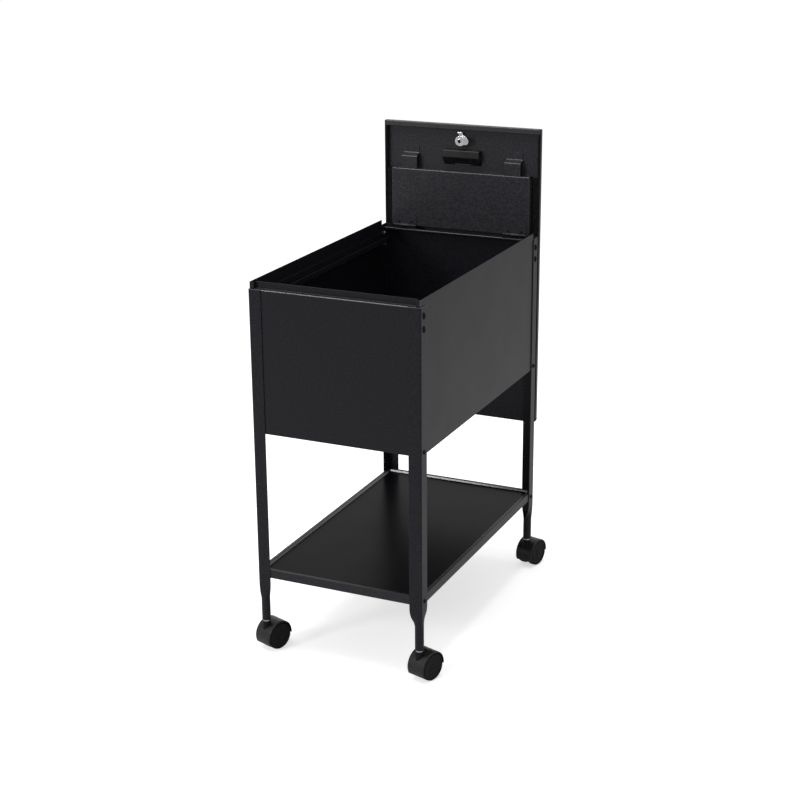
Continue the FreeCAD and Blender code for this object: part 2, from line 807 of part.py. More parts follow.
# Guide plate: a hat section whose feet run behind the lid's lips
guide = new_body("guide_plate_body")
pad(guide, "XY", "plate_bottom", [
    ("-foot_x", "foot_front"),
    ("-plate_x", "foot_front"),
    ("-plate_x", "plate_front"),
    ("plate_x", "plate_front"),
    ("plate_x", "foot_front"),
    ("foot_x", "foot_front"),
    ("foot_x", "foot_back"),
    ("plate_x - plate_gauge", "foot_back"),
    ("plate_x - plate_gauge", "plate_front + plate_gauge"),
    ("-plate_x + plate_gauge", "plate_front + plate_gauge"),
    ("-plate_x + plate_gauge", "foot_back"),
    ("-foot_x", "foot_back"),
], "plate_above + plate_below")
pad(guide, "XY", "plate_top - plate_gauge",
    rectangle("-plate_x", "plate_front", "plate_x", "lid_inner - slide_gap"), "plate_gauge")
round_edges(guide, "plate_bend", ALONG_X,
            lambda middle: near(middle.y, value("plate_front")) and near(middle.z, value("plate_top")))
guide_holes = both_sides("guide_hole_set", rivet_holes)
keep(carve("guide_plate_drilled", guide, [guide_holes]), "guide_plate")

# Lid pan: a panel with flanges and inward lips on three sides, open at its rear end
lid = new_body("lid_body")
pad(lid, "XZ", "lid_inner", rectangle("-lid_x", "lid_bottom", "lid_x", "lid_top"), "sheet")
round_edges(lid, "lid_corner", ALONG_Y, lambda middle: near(middle.z, value("lid_bottom")))


def three_sides(side_width, front_width):
    """List the corners of a strip along the lid's two long sides and its front edge."""
    return [
        ("-lid_x", "flange_bottom"),
        (f"-lid_x + {side_width}", "flange_bottom"),
        (f"-lid_x + {side_width}", f"lid_top - {front_width}"),
        (f"lid_x - {side_width}", f"lid_top - {front_width}"),
        (f"lid_x - {side_width}", "flange_bottom"),
        ("lid_x", "flange_bottom"),
        ("lid_x", "lid_top"),
        ("-lid_x", "lid_top"),
    ]


pad(lid, "XZ", "lid_front", three_sides("sheet", "sheet"), "lid_depth")
pad(lid, "XZ", "lid_front", three_sides("lid_side_lip", "lid_front_lip"), "sheet")
pocket(lid, "XZ", "lid_inner", [
    rectangle("-pull_width / 2 - pull_fit", "pull_bottom - pull_fit",
              "pull_width / 2 + pull_fit", "pull_top + pull_fit"),
], "sheet")
round_edges(lid, "lid_bend", ALONG_X,
            lambda middle: near(middle.z, value("lid_top")) and near(middle.y, value("lid_back")))
round_edges(lid, "lid_bend", ALONG_Z,
            lambda middle: near(abs(middle.x), value("lid_x")) and near(middle.y, value("lid_back")))
lock_hole = rod("lock_hole", "Y", ("0", "lid_inner - sheet", "lock_z"), "barrel_radius + barrel_fit",
                "3 * sheet")
keep(carve("lid_drilled", lid, [lock_hole]), "lid_pan")

# Stop hooks: bent straps on the lid that come down on the guide plate
hook = new_body("hook_body")
pad(hook, "YZ", "hook_x", [
    ("hook_front", "hook_bottom"),
    ("hook_front + hook_gauge", "hook_bottom"),
    ("hook_front + hook_gauge", "hook_web - hook_slope - hook_gauge"),
    ("lid_inner", "hook_web - hook_gauge"),
    ("lid_inner", "hook_web + hook_base"),
    ("lid_inner - hook_gauge", "hook_web + hook_base"),
    ("lid_inner - hook_gauge", "hook_web"),
    ("hook_front", "hook_web - hook_slope"),
], "hook_width")
keep(hook, "stop_hook_right")
keep(mirror("hook_left", hook), "stop_hook_left")

# Finger pull: a moulded cup let into the lid, with a bezel on the outside
pull = new_body("pull_body")
pad(pull, "YZ", "0", [
    ("pull_front", "pull_top"),
    ("pull_front", "pull_top - pull_face"),
    ("lid_inner", "pull_bottom"),
    ("lid_back", "pull_bottom"),
    ("lid_back", "pull_top"),
], "pull_width", both_ways=True)
pad(pull, "XZ", "lid_back", rectangle(
    "-pull_width / 2 - pull_bezel", "pull_bottom - pull_bezel",
    "pull_width / 2 + pull_bezel", "pull_top + pull_bezel"), "pull_bezel_gauge")
round_edges(pull, "pull_round", ALONG_X, lambda middle: near(middle.y, value("pull_front")))
pocket(pull, "YZ", "0", [[
    ("pull_front + pull_wall", "pull_top - pull_wall"),
    ("pull_front + pull_wall", "pull_top - pull_face + pull_wall"),
    ("lid_inner", "pull_bottom + 2 * pull_wall"),
    ("pull_back", "pull_bottom + 2 * pull_wall"),
    ("pull_back", "pull_top - pull_wall"),
]], "pull_width - 2 * pull_wall", both_ways=True)
keep(pull, "finger_pull")

# Lock: a barrel through the lid, its nut with a stop tab, and a plug that turns the cam
barrel_blank = join("barrel_blank", [
    rod("lock_face", "Y", ("0", "lid_back", "lock_z"), "lock_face_radius", "lock_face_height"),
    rod("lock_barrel", "Y", ("0", "barrel_end", "lock_z"), "barrel_radius", "barrel_length + sheet"),
])
plug_bore = rod("plug_bore", "Y", ("0", "barrel_end", "lock_z"), "plug_radius + plug_fit",
                "lock_back - barrel_end")
keep(carve("lock_housing_bored", barrel_blank, [plug_bore]), "lock_housing")

nut_blank = join("lock_nut_blank", [
    hexagon("lock_nut_hexagon", "Y", ("0", "nut_front", "lock_z"), "lock_nut_radius", "lock_nut_height"),
    box("stop_tab", ("-stop_tab_shift", "tab_front", "lock_z"),
        ("stop_tab_width", "stop_tab_gauge", "stop_tab_reach")),
])
nut_hole = rod("lock_nut_hole", "Y", ("0", "tab_front", "lock_z"), "barrel_radius",
               "lock_nut_height + stop_tab_gauge")
keep(carve("lock_nut_bored", nut_blank, [nut_hole]), "lock_nut")

plug_blank = join("plug_blank", [
    rod("plug_core", "Y", ("0", "cam_back", "lock_z"), "plug_radius", "lock_back - cam_back"),
    rod("plug_stud", "Y", ("0", "cam_front", "lock_z"), "cam_stud_radius", "cam_gauge"),
])
slot_corner = ("-key_slot_width / 2", "lock_back - key_slot_depth", "lock_z - key_slot_height / 2")
key_slot = box("key_slot", slot_corner, ("key_slot_width", "key_slot_depth", "key_slot_height"))
keep(carve("plug_slotted", plug_blank, [key_slot]), "lock_plug")

cam_blank = join("cam_blank", [
    rod("cam_disc", "Y", ("0", "cam_front", "lock_z"), "cam_radius", "cam_gauge"),
    box("cam_arm", ("0", "cam_front", "lock_z - cam_width / 2"), ("cam_end_x", "cam_gauge", "cam_width")),
    rod("cam_end", "Y", ("cam_end_x", "cam_front", "lock_z"), "cam_width / 2", "cam_gauge"),
])
cam_hole = rod("cam_hole", "Y", ("0", "cam_front", "lock_z"), "cam_stud_radius", "cam_gauge")
keep(carve("cam_bored", cam_blank, [cam_hole]), "lock_cam")

cam_screw = hexagon("cam_screw_head", "Y", ("0", "cam_front - cam_screw_height", "lock_z"),
                    "cam_screw_radius", "cam_screw_height")
keep(cam_screw, "cam_screw")

# Keeper: an angle inside the front band that the cam turns under
keeper = new_body("keeper_body")
pad(keeper, "YZ", "0", [
    ("-band_inner_y", "keeper_z"),
    ("-band_inner_y + keeper_tab", "keeper_z"),
    ("-band_inner_y + keeper_tab", "keeper_z + keeper_gauge"),
    ("-band_inner_y + keeper_gauge", "keeper_z + keeper_gauge"),
    ("-band_inner_y + keeper_gauge", "rim - keeper_below_rim"),
    ("-band_inner_y", "rim - keeper_below_rim"),
], "keeper_width", both_ways=True)
keep(keeper, "lock_keeper")


# Casters: masters stand at the origin with the stem on Z, and each corner has its own copies
def caster_copy(master, label, corner):
    """Set a copy of a caster piece under a leg, turned about its stem."""
    side, rear = CORNERS[corner]
    copy = group(label + "_copy", [master])
    bind(copy, {
        "Placement.Base.x": f"{side} * stem_x",
        "Placement.Base.y": f"{rear} * stem_y",
        "Placement.Rotation.Angle": f"turn_{corner} * 1deg",
    })
    return copy


# Stem with its collar
stem = new_body("stem_master")
revolve(stem, "XZ", "V_Axis", [
    ("0", "boss_top - stem_depth"),
    ("stem_radius", "boss_top - stem_depth"),
    ("stem_radius", "boss_top"),
    ("collar_radius", "boss_top"),
    ("collar_radius", "boss_top + collar_height"),
    ("stem_radius", "boss_top + collar_height"),
    ("stem_radius", "neck_end + stem_length"),
    ("0", "neck_end + stem_length"),
])

# Hood: a half shell that reaches lower in front, a web between the wheels and a boss for the stem
hood_space = rod("hood_space", "X", ("-hood_half - hood_wall", "trail", "wheel_radius"), "hood_inner",
                 "2 * (hood_half + hood_wall)")
below_front = box("below_front", ("-hood_half - hood_wall", "trail - 2 * hood_radius", "-hood_radius"),
                  ("2 * (hood_half + hood_wall)", "2 * hood_radius", "hood_radius + hood_front_skirt"))
below_rear = box("below_rear", ("-hood_half - hood_wall", "trail", "-hood_radius"),
                 ("2 * (hood_half + hood_wall)", "2 * hood_radius", "hood_radius + hood_rear_skirt"))
hood_round = rod("hood_round", "X", ("-hood_half", "trail", "wheel_radius"), "hood_radius", "2 * hood_half")
shell = carve("hood_shell", hood_round, [hood_space, below_front, below_rear])
boss_post = rod("boss_post", "Z", ("0", "0", "wheel_radius"), "boss_radius", "boss_top - wheel_radius")
boss = carve("hood_boss", boss_post, [hood_space])
below_web = box("below_web", ("-web_width", "trail - 2 * hood_radius", "-hood_radius"),
                ("2 * web_width", "4 * hood_radius", "hood_radius + web_base"))
web_disc = rod("web_disc", "X", ("-web_width / 2", "trail", "wheel_radius"), "hood_inner + hood_wall / 2",
               "web_width")
web = carve("hood_web", web_disc, [below_web])
stem_bore = rod("stem_bore", "Z", ("0", "0", "boss_top - stem_depth"), "stem_radius", "stem_depth")
axle_bore = rod("axle_bore", "X", ("-web_width / 2", "trail", "wheel_radius"), "axle_radius", "web_width")
hood = carve("hood_master", join("hood_blank", [shell, boss, web]), [stem_bore, axle_bore])

# Axle, pressed through the web
axle = rod("axle_master", "X", ("-bore_end + axle_end_gap", "trail", "wheel_radius"), "axle_radius",
           "2 * (bore_end - axle_end_gap)")


# Wheels: solid tyres with dished outer faces and blind bores
def wheel_master(name, side):
    """Turn a wheel whose outer face looks to one side."""
    wheel = new_body(name)
    sketch = revolve(wheel, "XY", "H_Axis", [
        (f"{side} * wheel_inner", "axle_radius + axle_fit"),
        (f"{side} * wheel_inner", "wheel_radius - wheel_shoulder / 2"),
        (f"{side} * (wheel_inner + wheel_shoulder / 2)", "wheel_radius"),
        (f"{side} * (wheel_outer - wheel_shoulder)", "wheel_radius"),
        (f"{side} * (wheel_outer - wheel_shoulder / 4)", "wheel_radius - wheel_shoulder * 3 / 4"),
        (f"{side} * wheel_outer", "wheel_radius - wheel_shoulder * 3 / 2"),
        (f"{side} * wheel_outer", "wheel_dish_radius + wheel_dish"),
        (f"{side} * (wheel_outer - wheel_dish)", "wheel_dish_radius"),
        (f"{side} * (wheel_outer - wheel_dish)", "wheel_hub_radius + wheel_dish"),
        (f"{side} * wheel_outer", "wheel_hub_radius"),
        (f"{side} * wheel_outer", "0"),
        (f"{side} * bore_end", "0"),
        (f"{side} * bore_end", "axle_radius + axle_fit"),
    ])
    bind(sketch, {"AttachmentOffset.Base.y": "trail", "AttachmentOffset.Base.z": "wheel_radius"})
    return wheel


caster_masters = {
    "stem": stem,
    "hood": hood,
    "axle": axle,
    "wheel_left": wheel_master("wheel_left_master", -1),
    "wheel_right": wheel_master("wheel_right_master", 1),
}

# Socket: a sleeve in the leg's neck that the stem turns in
socket_tube = rod("socket_tube", "Z", ("0", "0", "neck_end"), "neck_radius - leg_gauge", "socket_length")
socket_hole = rod("socket_hole", "Z", ("0", "0", "neck_end"), "stem_radius + stem_fit", "socket_length")
socket = carve("socket_master", socket_tube, [socket_hole])

sockets = []
for corner in CORNERS:
    for piece, master in caster_masters.items():
        label = f"caster_{corner}_{piece}"
        keep(caster_copy(master, label, corner), label)
    sockets.append(caster_copy(socket, f"caster_{corner}_socket", corner))
keep(group("socket_set", sockets), "caster_sockets")

doc.recompute()

# Every object has to be sound before any file is written
for thing in doc.Objects:
    faults = [state for state in thing.State if state in ("Invalid", "Error")]
    if faults:
        raise RuntimeError(f"{thing.Label} is {faults[0]}")
    if thing.TypeId == "PartDesign::Pocket":
        removed = thing.BaseFeature.Shape.Volume - thing.Shape.Volume
        if removed < 1e-3:
            raise RuntimeError(f"{thing.Label} cuts nothing")
for node in nodes:
    if node.Shape.isNull() or not node.Shape.isValid():
        raise RuntimeError(f"{node.Label} has no valid shape")

for node in nodes:
    node.Shape.exportStep(f"parts/{node.Label}.step")
    print(f"{node.Label}: {len(node.Shape.Solids)} solid(s), {node.Shape.Volume / 1000:.2f} cm3")
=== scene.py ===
import math

import bmesh
import bpy
from mathutils import Matrix, Vector


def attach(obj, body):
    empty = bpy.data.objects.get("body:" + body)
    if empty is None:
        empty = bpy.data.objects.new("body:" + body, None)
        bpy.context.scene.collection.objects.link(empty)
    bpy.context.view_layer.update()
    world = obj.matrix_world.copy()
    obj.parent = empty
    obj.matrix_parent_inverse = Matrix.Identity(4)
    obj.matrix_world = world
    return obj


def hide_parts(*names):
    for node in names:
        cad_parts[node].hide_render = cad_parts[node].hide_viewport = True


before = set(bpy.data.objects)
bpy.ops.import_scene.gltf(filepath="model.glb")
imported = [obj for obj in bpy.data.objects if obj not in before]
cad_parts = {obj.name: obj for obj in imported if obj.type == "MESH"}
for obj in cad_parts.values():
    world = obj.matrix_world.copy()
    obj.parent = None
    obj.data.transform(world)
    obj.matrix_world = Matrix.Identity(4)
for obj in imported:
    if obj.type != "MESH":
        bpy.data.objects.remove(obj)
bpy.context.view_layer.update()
scene = bpy.context.scene

# Legs: four strips of 1.6 mm sheet steel, each bent into a right angle along its length.
# Below the shelf the strip narrows and rolls into a split tube that takes a caster socket.
# Powder coated black, the front pair glossy along the cut top edge, then fixed with screws and
# nuts.
mm = 0.001
leg_x = 171.5
leg_y = 296.0
leg_gauge = 1.6
leg_flange = 25.4
leg_bend = 2.4
leg_tops = {-1: 727.0, 1: 729.0}
rear_top_round = 9.0
gloss_edge = 0.7
neck_radius = 8.5
neck_inset = 9.0
neck_end = 64.5
neck_seam_turn = 399.0
neck_bend_turn = 245.0
neck_bend_arc = 40.0
taper_bottom = 111.0
taper_top = 157.0
taper_steps = 12
flange_stations = 16
bend_stations = 4
sharp_edge = math.radians(40)
coat_black = (0.0058, 0.0056, 0.0078)
coat_fleck = (0.0122, 0.0119, 0.0158)
fleck_band = (0.35, 0.65)
sheen_band = (0.3, 0.7)
sheen_swing = 0.015
corners = {
    "front_left": (-1, -1),
    "front_right": (1, -1),
    "rear_left": (-1, 1),
    "rear_right": (1, 1),
}


def new_finish(name, metallic, shine):
    """Start a finish with its metal share and the level of its shine."""
    finish = bpy.data.materials.new(name)
    finish.use_nodes = True
    skin = finish.node_tree.nodes["Principled BSDF"]
    skin.inputs["Metallic"].default_value = metallic
    skin.inputs["Specular IOR Level"].default_value = shine
    return finish


def grain(finish, size, detail, stretch=(1, 1, 1)):
    """Add a grain pattern of about a size in millimetres, drawn out along an axis if asked."""
    nodes = finish.node_tree.nodes
    links = finish.node_tree.links
    place = nodes.new("ShaderNodeTexCoord")
    turn = nodes.new("ShaderNodeMapping")
    turn.inputs["Scale"].default_value = stretch
    noise = nodes.new("ShaderNodeTexNoise")
    noise.inputs["Scale"].default_value = 1 / mm / size
    noise.inputs["Detail"].default_value = detail
    links.new(place.outputs["Object"], turn.inputs["Vector"])
    links.new(turn.outputs["Vector"], noise.inputs["Vector"])
    return noise.outputs["Fac"]


def tint(finish, pattern, dark, light):
    """Let a pattern move the colour between a dark and a light tone."""
    nodes = finish.node_tree.nodes
    links = finish.node_tree.links
    ramp = nodes.new("ShaderNodeValToRGB")
    for stop, place, colour in zip(ramp.color_ramp.elements, fleck_band, (dark, light)):
        stop.position = place
        stop.color = (*colour, 1)
    links.new(pattern, ramp.inputs["Fac"])
    links.new(ramp.outputs["Color"], nodes["Principled BSDF"].inputs["Base Color"])


def dull(finish, pattern, smooth, rough):
    """Let a pattern move the roughness between two levels."""
    nodes = finish.node_tree.nodes
    links = finish.node_tree.links
    level = nodes.new("ShaderNodeMapRange")
    level.inputs["From Min"].default_value = sheen_band[0]
    level.inputs["From Max"].default_value = sheen_band[1]
    level.inputs["To Min"].default_value = smooth
    level.inputs["To Max"].default_value = rough
    links.new(pattern, level.inputs["Value"])
    links.new(level.outputs["Result"], nodes["Principled BSDF"].inputs["Roughness"])


def pebble(finish, pattern, strength, height):
    """Let a pattern raise the surface by a height in millimetres."""
    nodes = finish.node_tree.nodes
    links = finish.node_tree.links
    bump = nodes.new("ShaderNodeBump")
    bump.inputs["Strength"].default_value = strength
    bump.inputs["Distance"].default_value = height * mm
    links.new(pattern, bump.inputs["Height"])
    links.new(bump.outputs["Normal"], nodes["Principled BSDF"].inputs["Normal"])


def powder_coat(name, dark, light, shine=0.13, roughness=0.35):
    """Mix a black powder coat: faint flecks, an uneven sheen and a fine pebbled skin."""
    coat = new_finish(name, metallic=0.0, shine=shine)
    tint(coat, grain(coat, size=3.2, detail=3), dark, light)
    dull(coat, grain(coat, size=60, detail=2), roughness - sheen_swing, roughness + sheen_swing)
    pebble(coat, grain(coat, size=1.1, detail=2), strength=0.25, height=0.10)
    return coat


def smooth_coat(name, shine, smooth=0.27, rough=0.35):
    """Mix the black coat as it runs over edges and folds: glossier, without the pebbled skin."""
    coat = new_finish(name, metallic=0.0, shine=shine)
    tint(coat, grain(coat, size=3.2, detail=3), coat_black, coat_fleck)
    dull(coat, grain(coat, size=12, detail=2), smooth, rough)
    return coat


def make_piece(name, shape, finish, body, slot, *stands_for):
    """Bring a shape from millimetres to metres and set it on a body in place of its nodes."""
    bmesh.ops.scale(shape, vec=(mm, mm, mm), verts=shape.verts)
    mesh = bpy.data.meshes.new(name)
    shape.to_mesh(mesh)
    shape.free()
    mesh.shade_smooth()
    mesh.materials.append(finish)
    piece = bpy.data.objects.new(name, mesh)
    scene.collection.objects.link(piece)
    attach(piece, body)
    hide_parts(*stands_for)
    return piece


def thicken(piece, gauge):
    """Give a sheet its gauge, inwards from the face that was drawn."""
    wall = piece.modifiers.new("gauge", "SOLIDIFY")
    wall.thickness = gauge * mm
    wall.offset = -1
    wall.use_even_offset = True


def ease_edges(piece, width=0.3):
    """Take the sharpness off a piece's edges and keep its flat faces flat."""
    edge = piece.modifiers.new("edges", "BEVEL")
    edge.limit_method = "ANGLE"
    edge.angle_limit = sharp_edge
    edge.width = width * mm
    edge.segments = 2
    flats = piece.modifiers.new("flats", "WEIGHTED_NORMAL")
    flats.keep_sharp = True


def only_verts(geometry):
    """Pick the vertices out of what an operator made."""
    return [item for item in geometry if isinstance(item, bmesh.types.BMVert)]


def only_edges(geometry):
    """Pick the edges out of what an operator made."""
    return [item for item in geometry if isinstance(item, bmesh.types.BMEdge)]


def face_towards(shape, away):
    """Turn a sheet's faces the same way, outwards along a direction."""
    bmesh.ops.recalc_face_normals(shape, faces=shape.faces)
    facing = Vector()
    for face in shape.faces:
        facing += face.normal * face.calc_area()
    if facing.dot(Vector(away)) < 0:
        bmesh.ops.reverse_faces(shape, faces=shape.faces)


def leg_place(station, share, height, side, rear):
    """Place a station of the leg's outer face: share 0 is the bent angle, 1 the rolled neck."""
    last = 2 * flange_stations + bend_stations
    along = min(station, last - station)
    if along <= flange_stations:
        part = along / flange_stations
        flat = (leg_flange + part * (leg_bend - leg_flange), 0.0)
        turn = neck_seam_turn + part * (neck_bend_turn - neck_seam_turn)
    else:
        part = (along - flange_stations) / bend_stations
        swing = math.radians(270 - 90 * part)
        flat = (leg_bend + leg_bend * math.cos(swing), leg_bend + leg_bend * math.sin(swing))
        turn = neck_bend_turn - part * neck_bend_arc
    turn = math.radians(turn)
    rolled = (neck_inset + neck_radius * math.cos(turn), neck_inset + neck_radius * math.sin(turn))
    if station > last / 2:
        flat = flat[::-1]
        rolled = rolled[::-1]
    inward_x, inward_y = (a + share * (b - a) for a, b in zip(flat, rolled))
    if rear > 0 and height == leg_tops[1]:
        past = max(0.0, inward_y - (leg_flange - rear_top_round))
        height -= rear_top_round - math.sqrt(rear_top_round ** 2 - past ** 2)
    return Vector((side * (leg_x - inward_x), rear * (leg_y - inward_y), height))


steel_coat = powder_coat("black_powder_coat", coat_black, coat_fleck)
fold_coat = smooth_coat("smooth_fold_coat", 0.8)
for corner, (side, rear) in corners.items():
    leg_top = leg_tops[rear]
    levels = [(0.0, leg_top), (0.0, leg_top - 2 * rear_top_round), (0.0, taper_top)]
    if rear < 0:
        levels.insert(1, (0.0, leg_top - gloss_edge))
    for step in range(1, taper_steps + 1):
        part = step / taper_steps
        levels.append((part ** 3, taper_top + part * (taper_bottom - taper_top)))
    levels.append((1.0, neck_end))
    shape = bmesh.new()
    station = shape.verts.layers.int.new("station")
    row = []
    for number in range(2 * flange_stations + bend_stations + 1):
        vert = shape.verts.new(leg_place(number, *levels[0], side, rear))
        vert[station] = number
        row.append(vert)
    edges = [shape.edges.new(pair) for pair in zip(row, row[1:])]
    for share, height in levels[1:]:
        grown = bmesh.ops.extrude_edge_only(shape, edges=edges)["geom"]
        for vert in only_verts(grown):
            vert.co = leg_place(vert[station], share, height, side, rear)
        edges = only_edges(grown)
    for face in shape.faces:
        if rear < 0 and face.calc_center_median().z > leg_top - gloss_edge:
            face.material_index = 1
    face_towards(shape, (side, rear, 0))
    leg = make_piece(f"bent_leg_{corner}", shape, steel_coat, "frame", "black_powder_coat",
                     f"leg_{corner}")
    leg.data.materials.append(fold_coat)
    thicken(leg, leg_gauge)
    ease_edges(leg)

# Leg screws: button-head machine screws with a round driver recess, blackened steel.
# Four go through each leg: two near the rim, one at the tub floor and one at the shelf.
# The two near the rim have long narrow heads, set upright.
screw_y = 282.0
screw_rows = {709.5: 2.6, 685.0: 2.6, 456.5: 3.6, 163.5: 2.6}  # height: thickness gripped
screw_past_grip = 4.2
head_profile = [(0, 2), (0, 4.2), (0.5, 4.2), (1.2, 3.95), (1.8, 3.45), (2.2, 2.7), (2.4, 1.8),
                (2.3, 1.55), (1.2, 1.35), (1.2, 0)]
head_reach = 5.0
long_head_rows = (709.5, 685.0)
long_head_stretch = (1, 0.72, 1.5)
screw_black = (0.003, 0.003, 0.004)
screw_worn = (0.008, 0.008, 0.009)
touch = 0.01


def turned(shape, profile, centre, axis, steps):
    """Spin a profile of points a full turn about an axis and close it."""
    verts = [shape.verts.new(point) for point in profile]
    edges = [shape.edges.new(pair) for pair in zip(verts, verts[1:])]
    bmesh.ops.spin(shape, geom=verts + edges, cent=centre, axis=axis, angle=math.tau, steps=steps,
                   use_merge=True)
    bmesh.ops.remove_doubles(shape, verts=shape.verts, dist=0.001)
    bmesh.ops.recalc_face_normals(shape, faces=shape.faces)


screw_finish = new_finish("blackened_screw", metallic=0.0, shine=0.10)
tint(screw_finish, grain(screw_finish, size=1.5, detail=3), screw_black, screw_worn)
dull(screw_finish, grain(screw_finish, size=3, detail=2), 0.42, 0.55)
shape = bmesh.new()
for side in (-1, 1):
    for rear in (-1, 1):
        for height, grip in screw_rows.items():
            tip = -grip - screw_past_grip
            profile = [(tip, 0), (tip, 1.5), (tip + 0.5, 2)] + head_profile
            points = [(side * (leg_x + out), rear * screw_y, height + radius)
                      for out, radius in profile]
            turned(shape, points, (0, rear * screw_y, height), (1, 0, 0), 20)
for height in long_head_rows:
    for rear in (-1, 1):
        middle = Vector((0, rear * screw_y, height))
        head = [vert for vert in shape.verts if abs(vert.co.x) > leg_x - touch
                and (vert.co - middle).yz.length < head_reach]
        bmesh.ops.scale(shape, vec=long_head_stretch, space=Matrix.Translation(-middle), verts=head)
screws = make_piece("leg_screw_heads", shape, screw_finish, "frame", "black_screw", "leg_screws")
ease_edges(screws, 0.12)

# Leg nuts: plain hexagon nuts on the inside of the tub and under the shelf rim.
# Zinc-plated steel with the cloudy grey of a bright-dipped finish.
zinc_dark = (0.27, 0.28, 0.29)
zinc_light = (0.43, 0.44, 0.45)


def clothe(name, finish):
    """Give a node that keeps its own shape a finish."""
    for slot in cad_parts[name].material_slots:
        slot.material = finish


zinc = new_finish("zinc_plate", metallic=1.0, shine=0.5)
tint(zinc, grain(zinc, size=4, detail=4), zinc_dark, zinc_light)
dull(zinc, grain(zinc, size=2, detail=3), 0.28, 0.45)
clothe("leg_nuts", zinc)

# Tub side walls: 1 mm sheet with a narrow return folded in at each end.
# The rear top corner is notched so that the swinging lid clears it.
# The coat runs smooth over the folds, so they are glossier than the flats.
wall_x = 169.9
wall_return = 160.9
wall_end = 293.4
wall_fold = 1.6
tub_base = 450.0
rim = 740.0
notch_y = 271.4
notch_z = 727.0
rear_return_top = 722.0
sheet_gauge = 1.0


def folded(shape, profile, run, fold):
    """Draw a strip through a profile, run it along a length and round its folds."""
    verts = [shape.verts.new(point) for point in profile]
    edges = [shape.edges.new(pair) for pair in zip(verts, verts[1:])]
    grown = bmesh.ops.extrude_edge_only(shape, edges=edges)["geom"]
    bmesh.ops.translate(shape, vec=run, verts=only_verts(grown))
    folds = []
    for vert in verts[1:-1]:
        folds += [edge for edge in vert.link_edges if len(edge.link_faces) == 2]
    bends = bmesh.ops.bevel(shape, geom=folds, offset=fold, segments=4, profile=0.5,
                            affect="EDGES", material=-1)["faces"]
    for face in bends:
        face.material_index = 1


def score(shape, point, normal):
    """Split a sheet's faces along a plane."""
    everything = shape.verts[:] + shape.edges[:] + shape.faces[:]
    bmesh.ops.bisect_plane(shape, geom=everything, dist=0.0001, plane_co=point, plane_no=normal)


def cut_out(shape, matches):
    """Take away the faces whose middle passes a test."""
    waste = [face for face in shape.faces if matches(face.calc_center_median())]
    bmesh.ops.delete(shape, geom=waste, context="FACES")


for hand, side in (("right", 1), ("left", -1)):
    shape = bmesh.new()
    plan = [(wall_return, -wall_end), (wall_x, -wall_end), (wall_x, wall_end),
            (wall_return, wall_end)]
    folded(shape, [(side * x, y, tub_base) for x, y in plan], (0, 0, rim - tub_base), wall_fold)
    score(shape, (0, notch_y, 0), (0, 1, 0))
    score(shape, (0, 0, notch_z), (0, 0, 1))
    score(shape, (0, 0, rear_return_top), (0, 0, 1))
    cut_out(shape, lambda middle: middle.y > notch_y and middle.z > notch_z)
    cut_out(shape, lambda middle: middle.y > wall_end - 1 and middle.z > rear_return_top)
    face_towards(shape, (side, 0, 0))
    wall = make_piece(f"folded_{hand}_wall", shape, steel_coat, "frame", "black_powder_coat",
                      f"tub_{hand}_wall")
    wall.data.materials.append(fold_coat)
    thicken(wall, sheet_gauge)
    ease_edges(wall)

# Tub front wall: one sheet that turns back in a ledge and up again in a narrow band.
# The band stands between the ends of the side walls and carries the lock keeper.
# Only the fold along the front edge is glossy.
front_y = -294.4
front_half = 168.9
band_y = -285.4
band_half = 160.4
ledge = 727.0
tub_fold = 1.4
glossy_depth = 3.0
shape = bmesh.new()
profile = [(front_y, tub_base), (front_y, ledge), (band_y, ledge), (band_y, rim)]
folded(shape, [(-band_half, y, z) for y, z in profile], (2 * band_half, 0, 0), tub_fold)
for face in shape.faces:
    if face.calc_center_median().y > front_y + glossy_depth:
        face.material_index = 0
for side in (-1, 1):
    ends = [edge for edge in shape.edges if all(abs(vert.co.x - side * band_half) < touch
                                                and abs(vert.co.y - front_y) < touch
                                                and vert.co.z < ledge - 1 for vert in edge.verts)]
    grown = bmesh.ops.extrude_edge_only(shape, edges=ends)["geom"]
    bmesh.ops.translate(shape, vec=(side * (front_half - band_half), 0, 0), verts=only_verts(grown))
face_towards(shape, (0, -1, 0))
front_wall = make_piece("folded_front_wall", shape, steel_coat, "frame", "black_powder_coat",
                        "tub_front_wall")
front_wall.data.materials.append(fold_coat)
thicken(front_wall, sheet_gauge)
ease_edges(front_wall)

# Tub rear wall: a plain sheet with an inward flange along the top that carries the hinges.
# The flange's edge is turned down a little, so that it is stiff and not sharp.
# The same 1 mm black sheet as the other walls, spot welded to their returns.
rear_y = 294.4
rear_rim = 723.0
rear_flange = 12.0
rear_hem = 4.0
satin_fold_coat = smooth_coat("satin_fold_coat", 0.45)
shape = bmesh.new()
profile = [(rear_y, tub_base), (rear_y, rear_rim), (rear_y - rear_flange, rear_rim),
           (rear_y - rear_flange, rear_rim - rear_hem)]
folded(shape, [(-front_half, y, z) for y, z in profile], (2 * front_half, 0, 0), tub_fold)
face_towards(shape, (0, 1, 0))
rear_wall = make_piece("folded_rear_wall", shape, steel_coat, "frame", "black_powder_coat",
                       "tub_rear_wall")
rear_wall.data.materials.append(satin_fold_coat)
thicken(rear_wall, sheet_gauge)
ease_edges(rear_wall)

# Tub floor: a shallow pan of 1 mm sheet turned upside down.
# Its flanges are spot welded to the walls, level with their lower edges.
floor_half_x = 168.9
floor_half_y = 292.4
floor_top = 462.0
level_normal = 0.9
fold_angle = 0.4


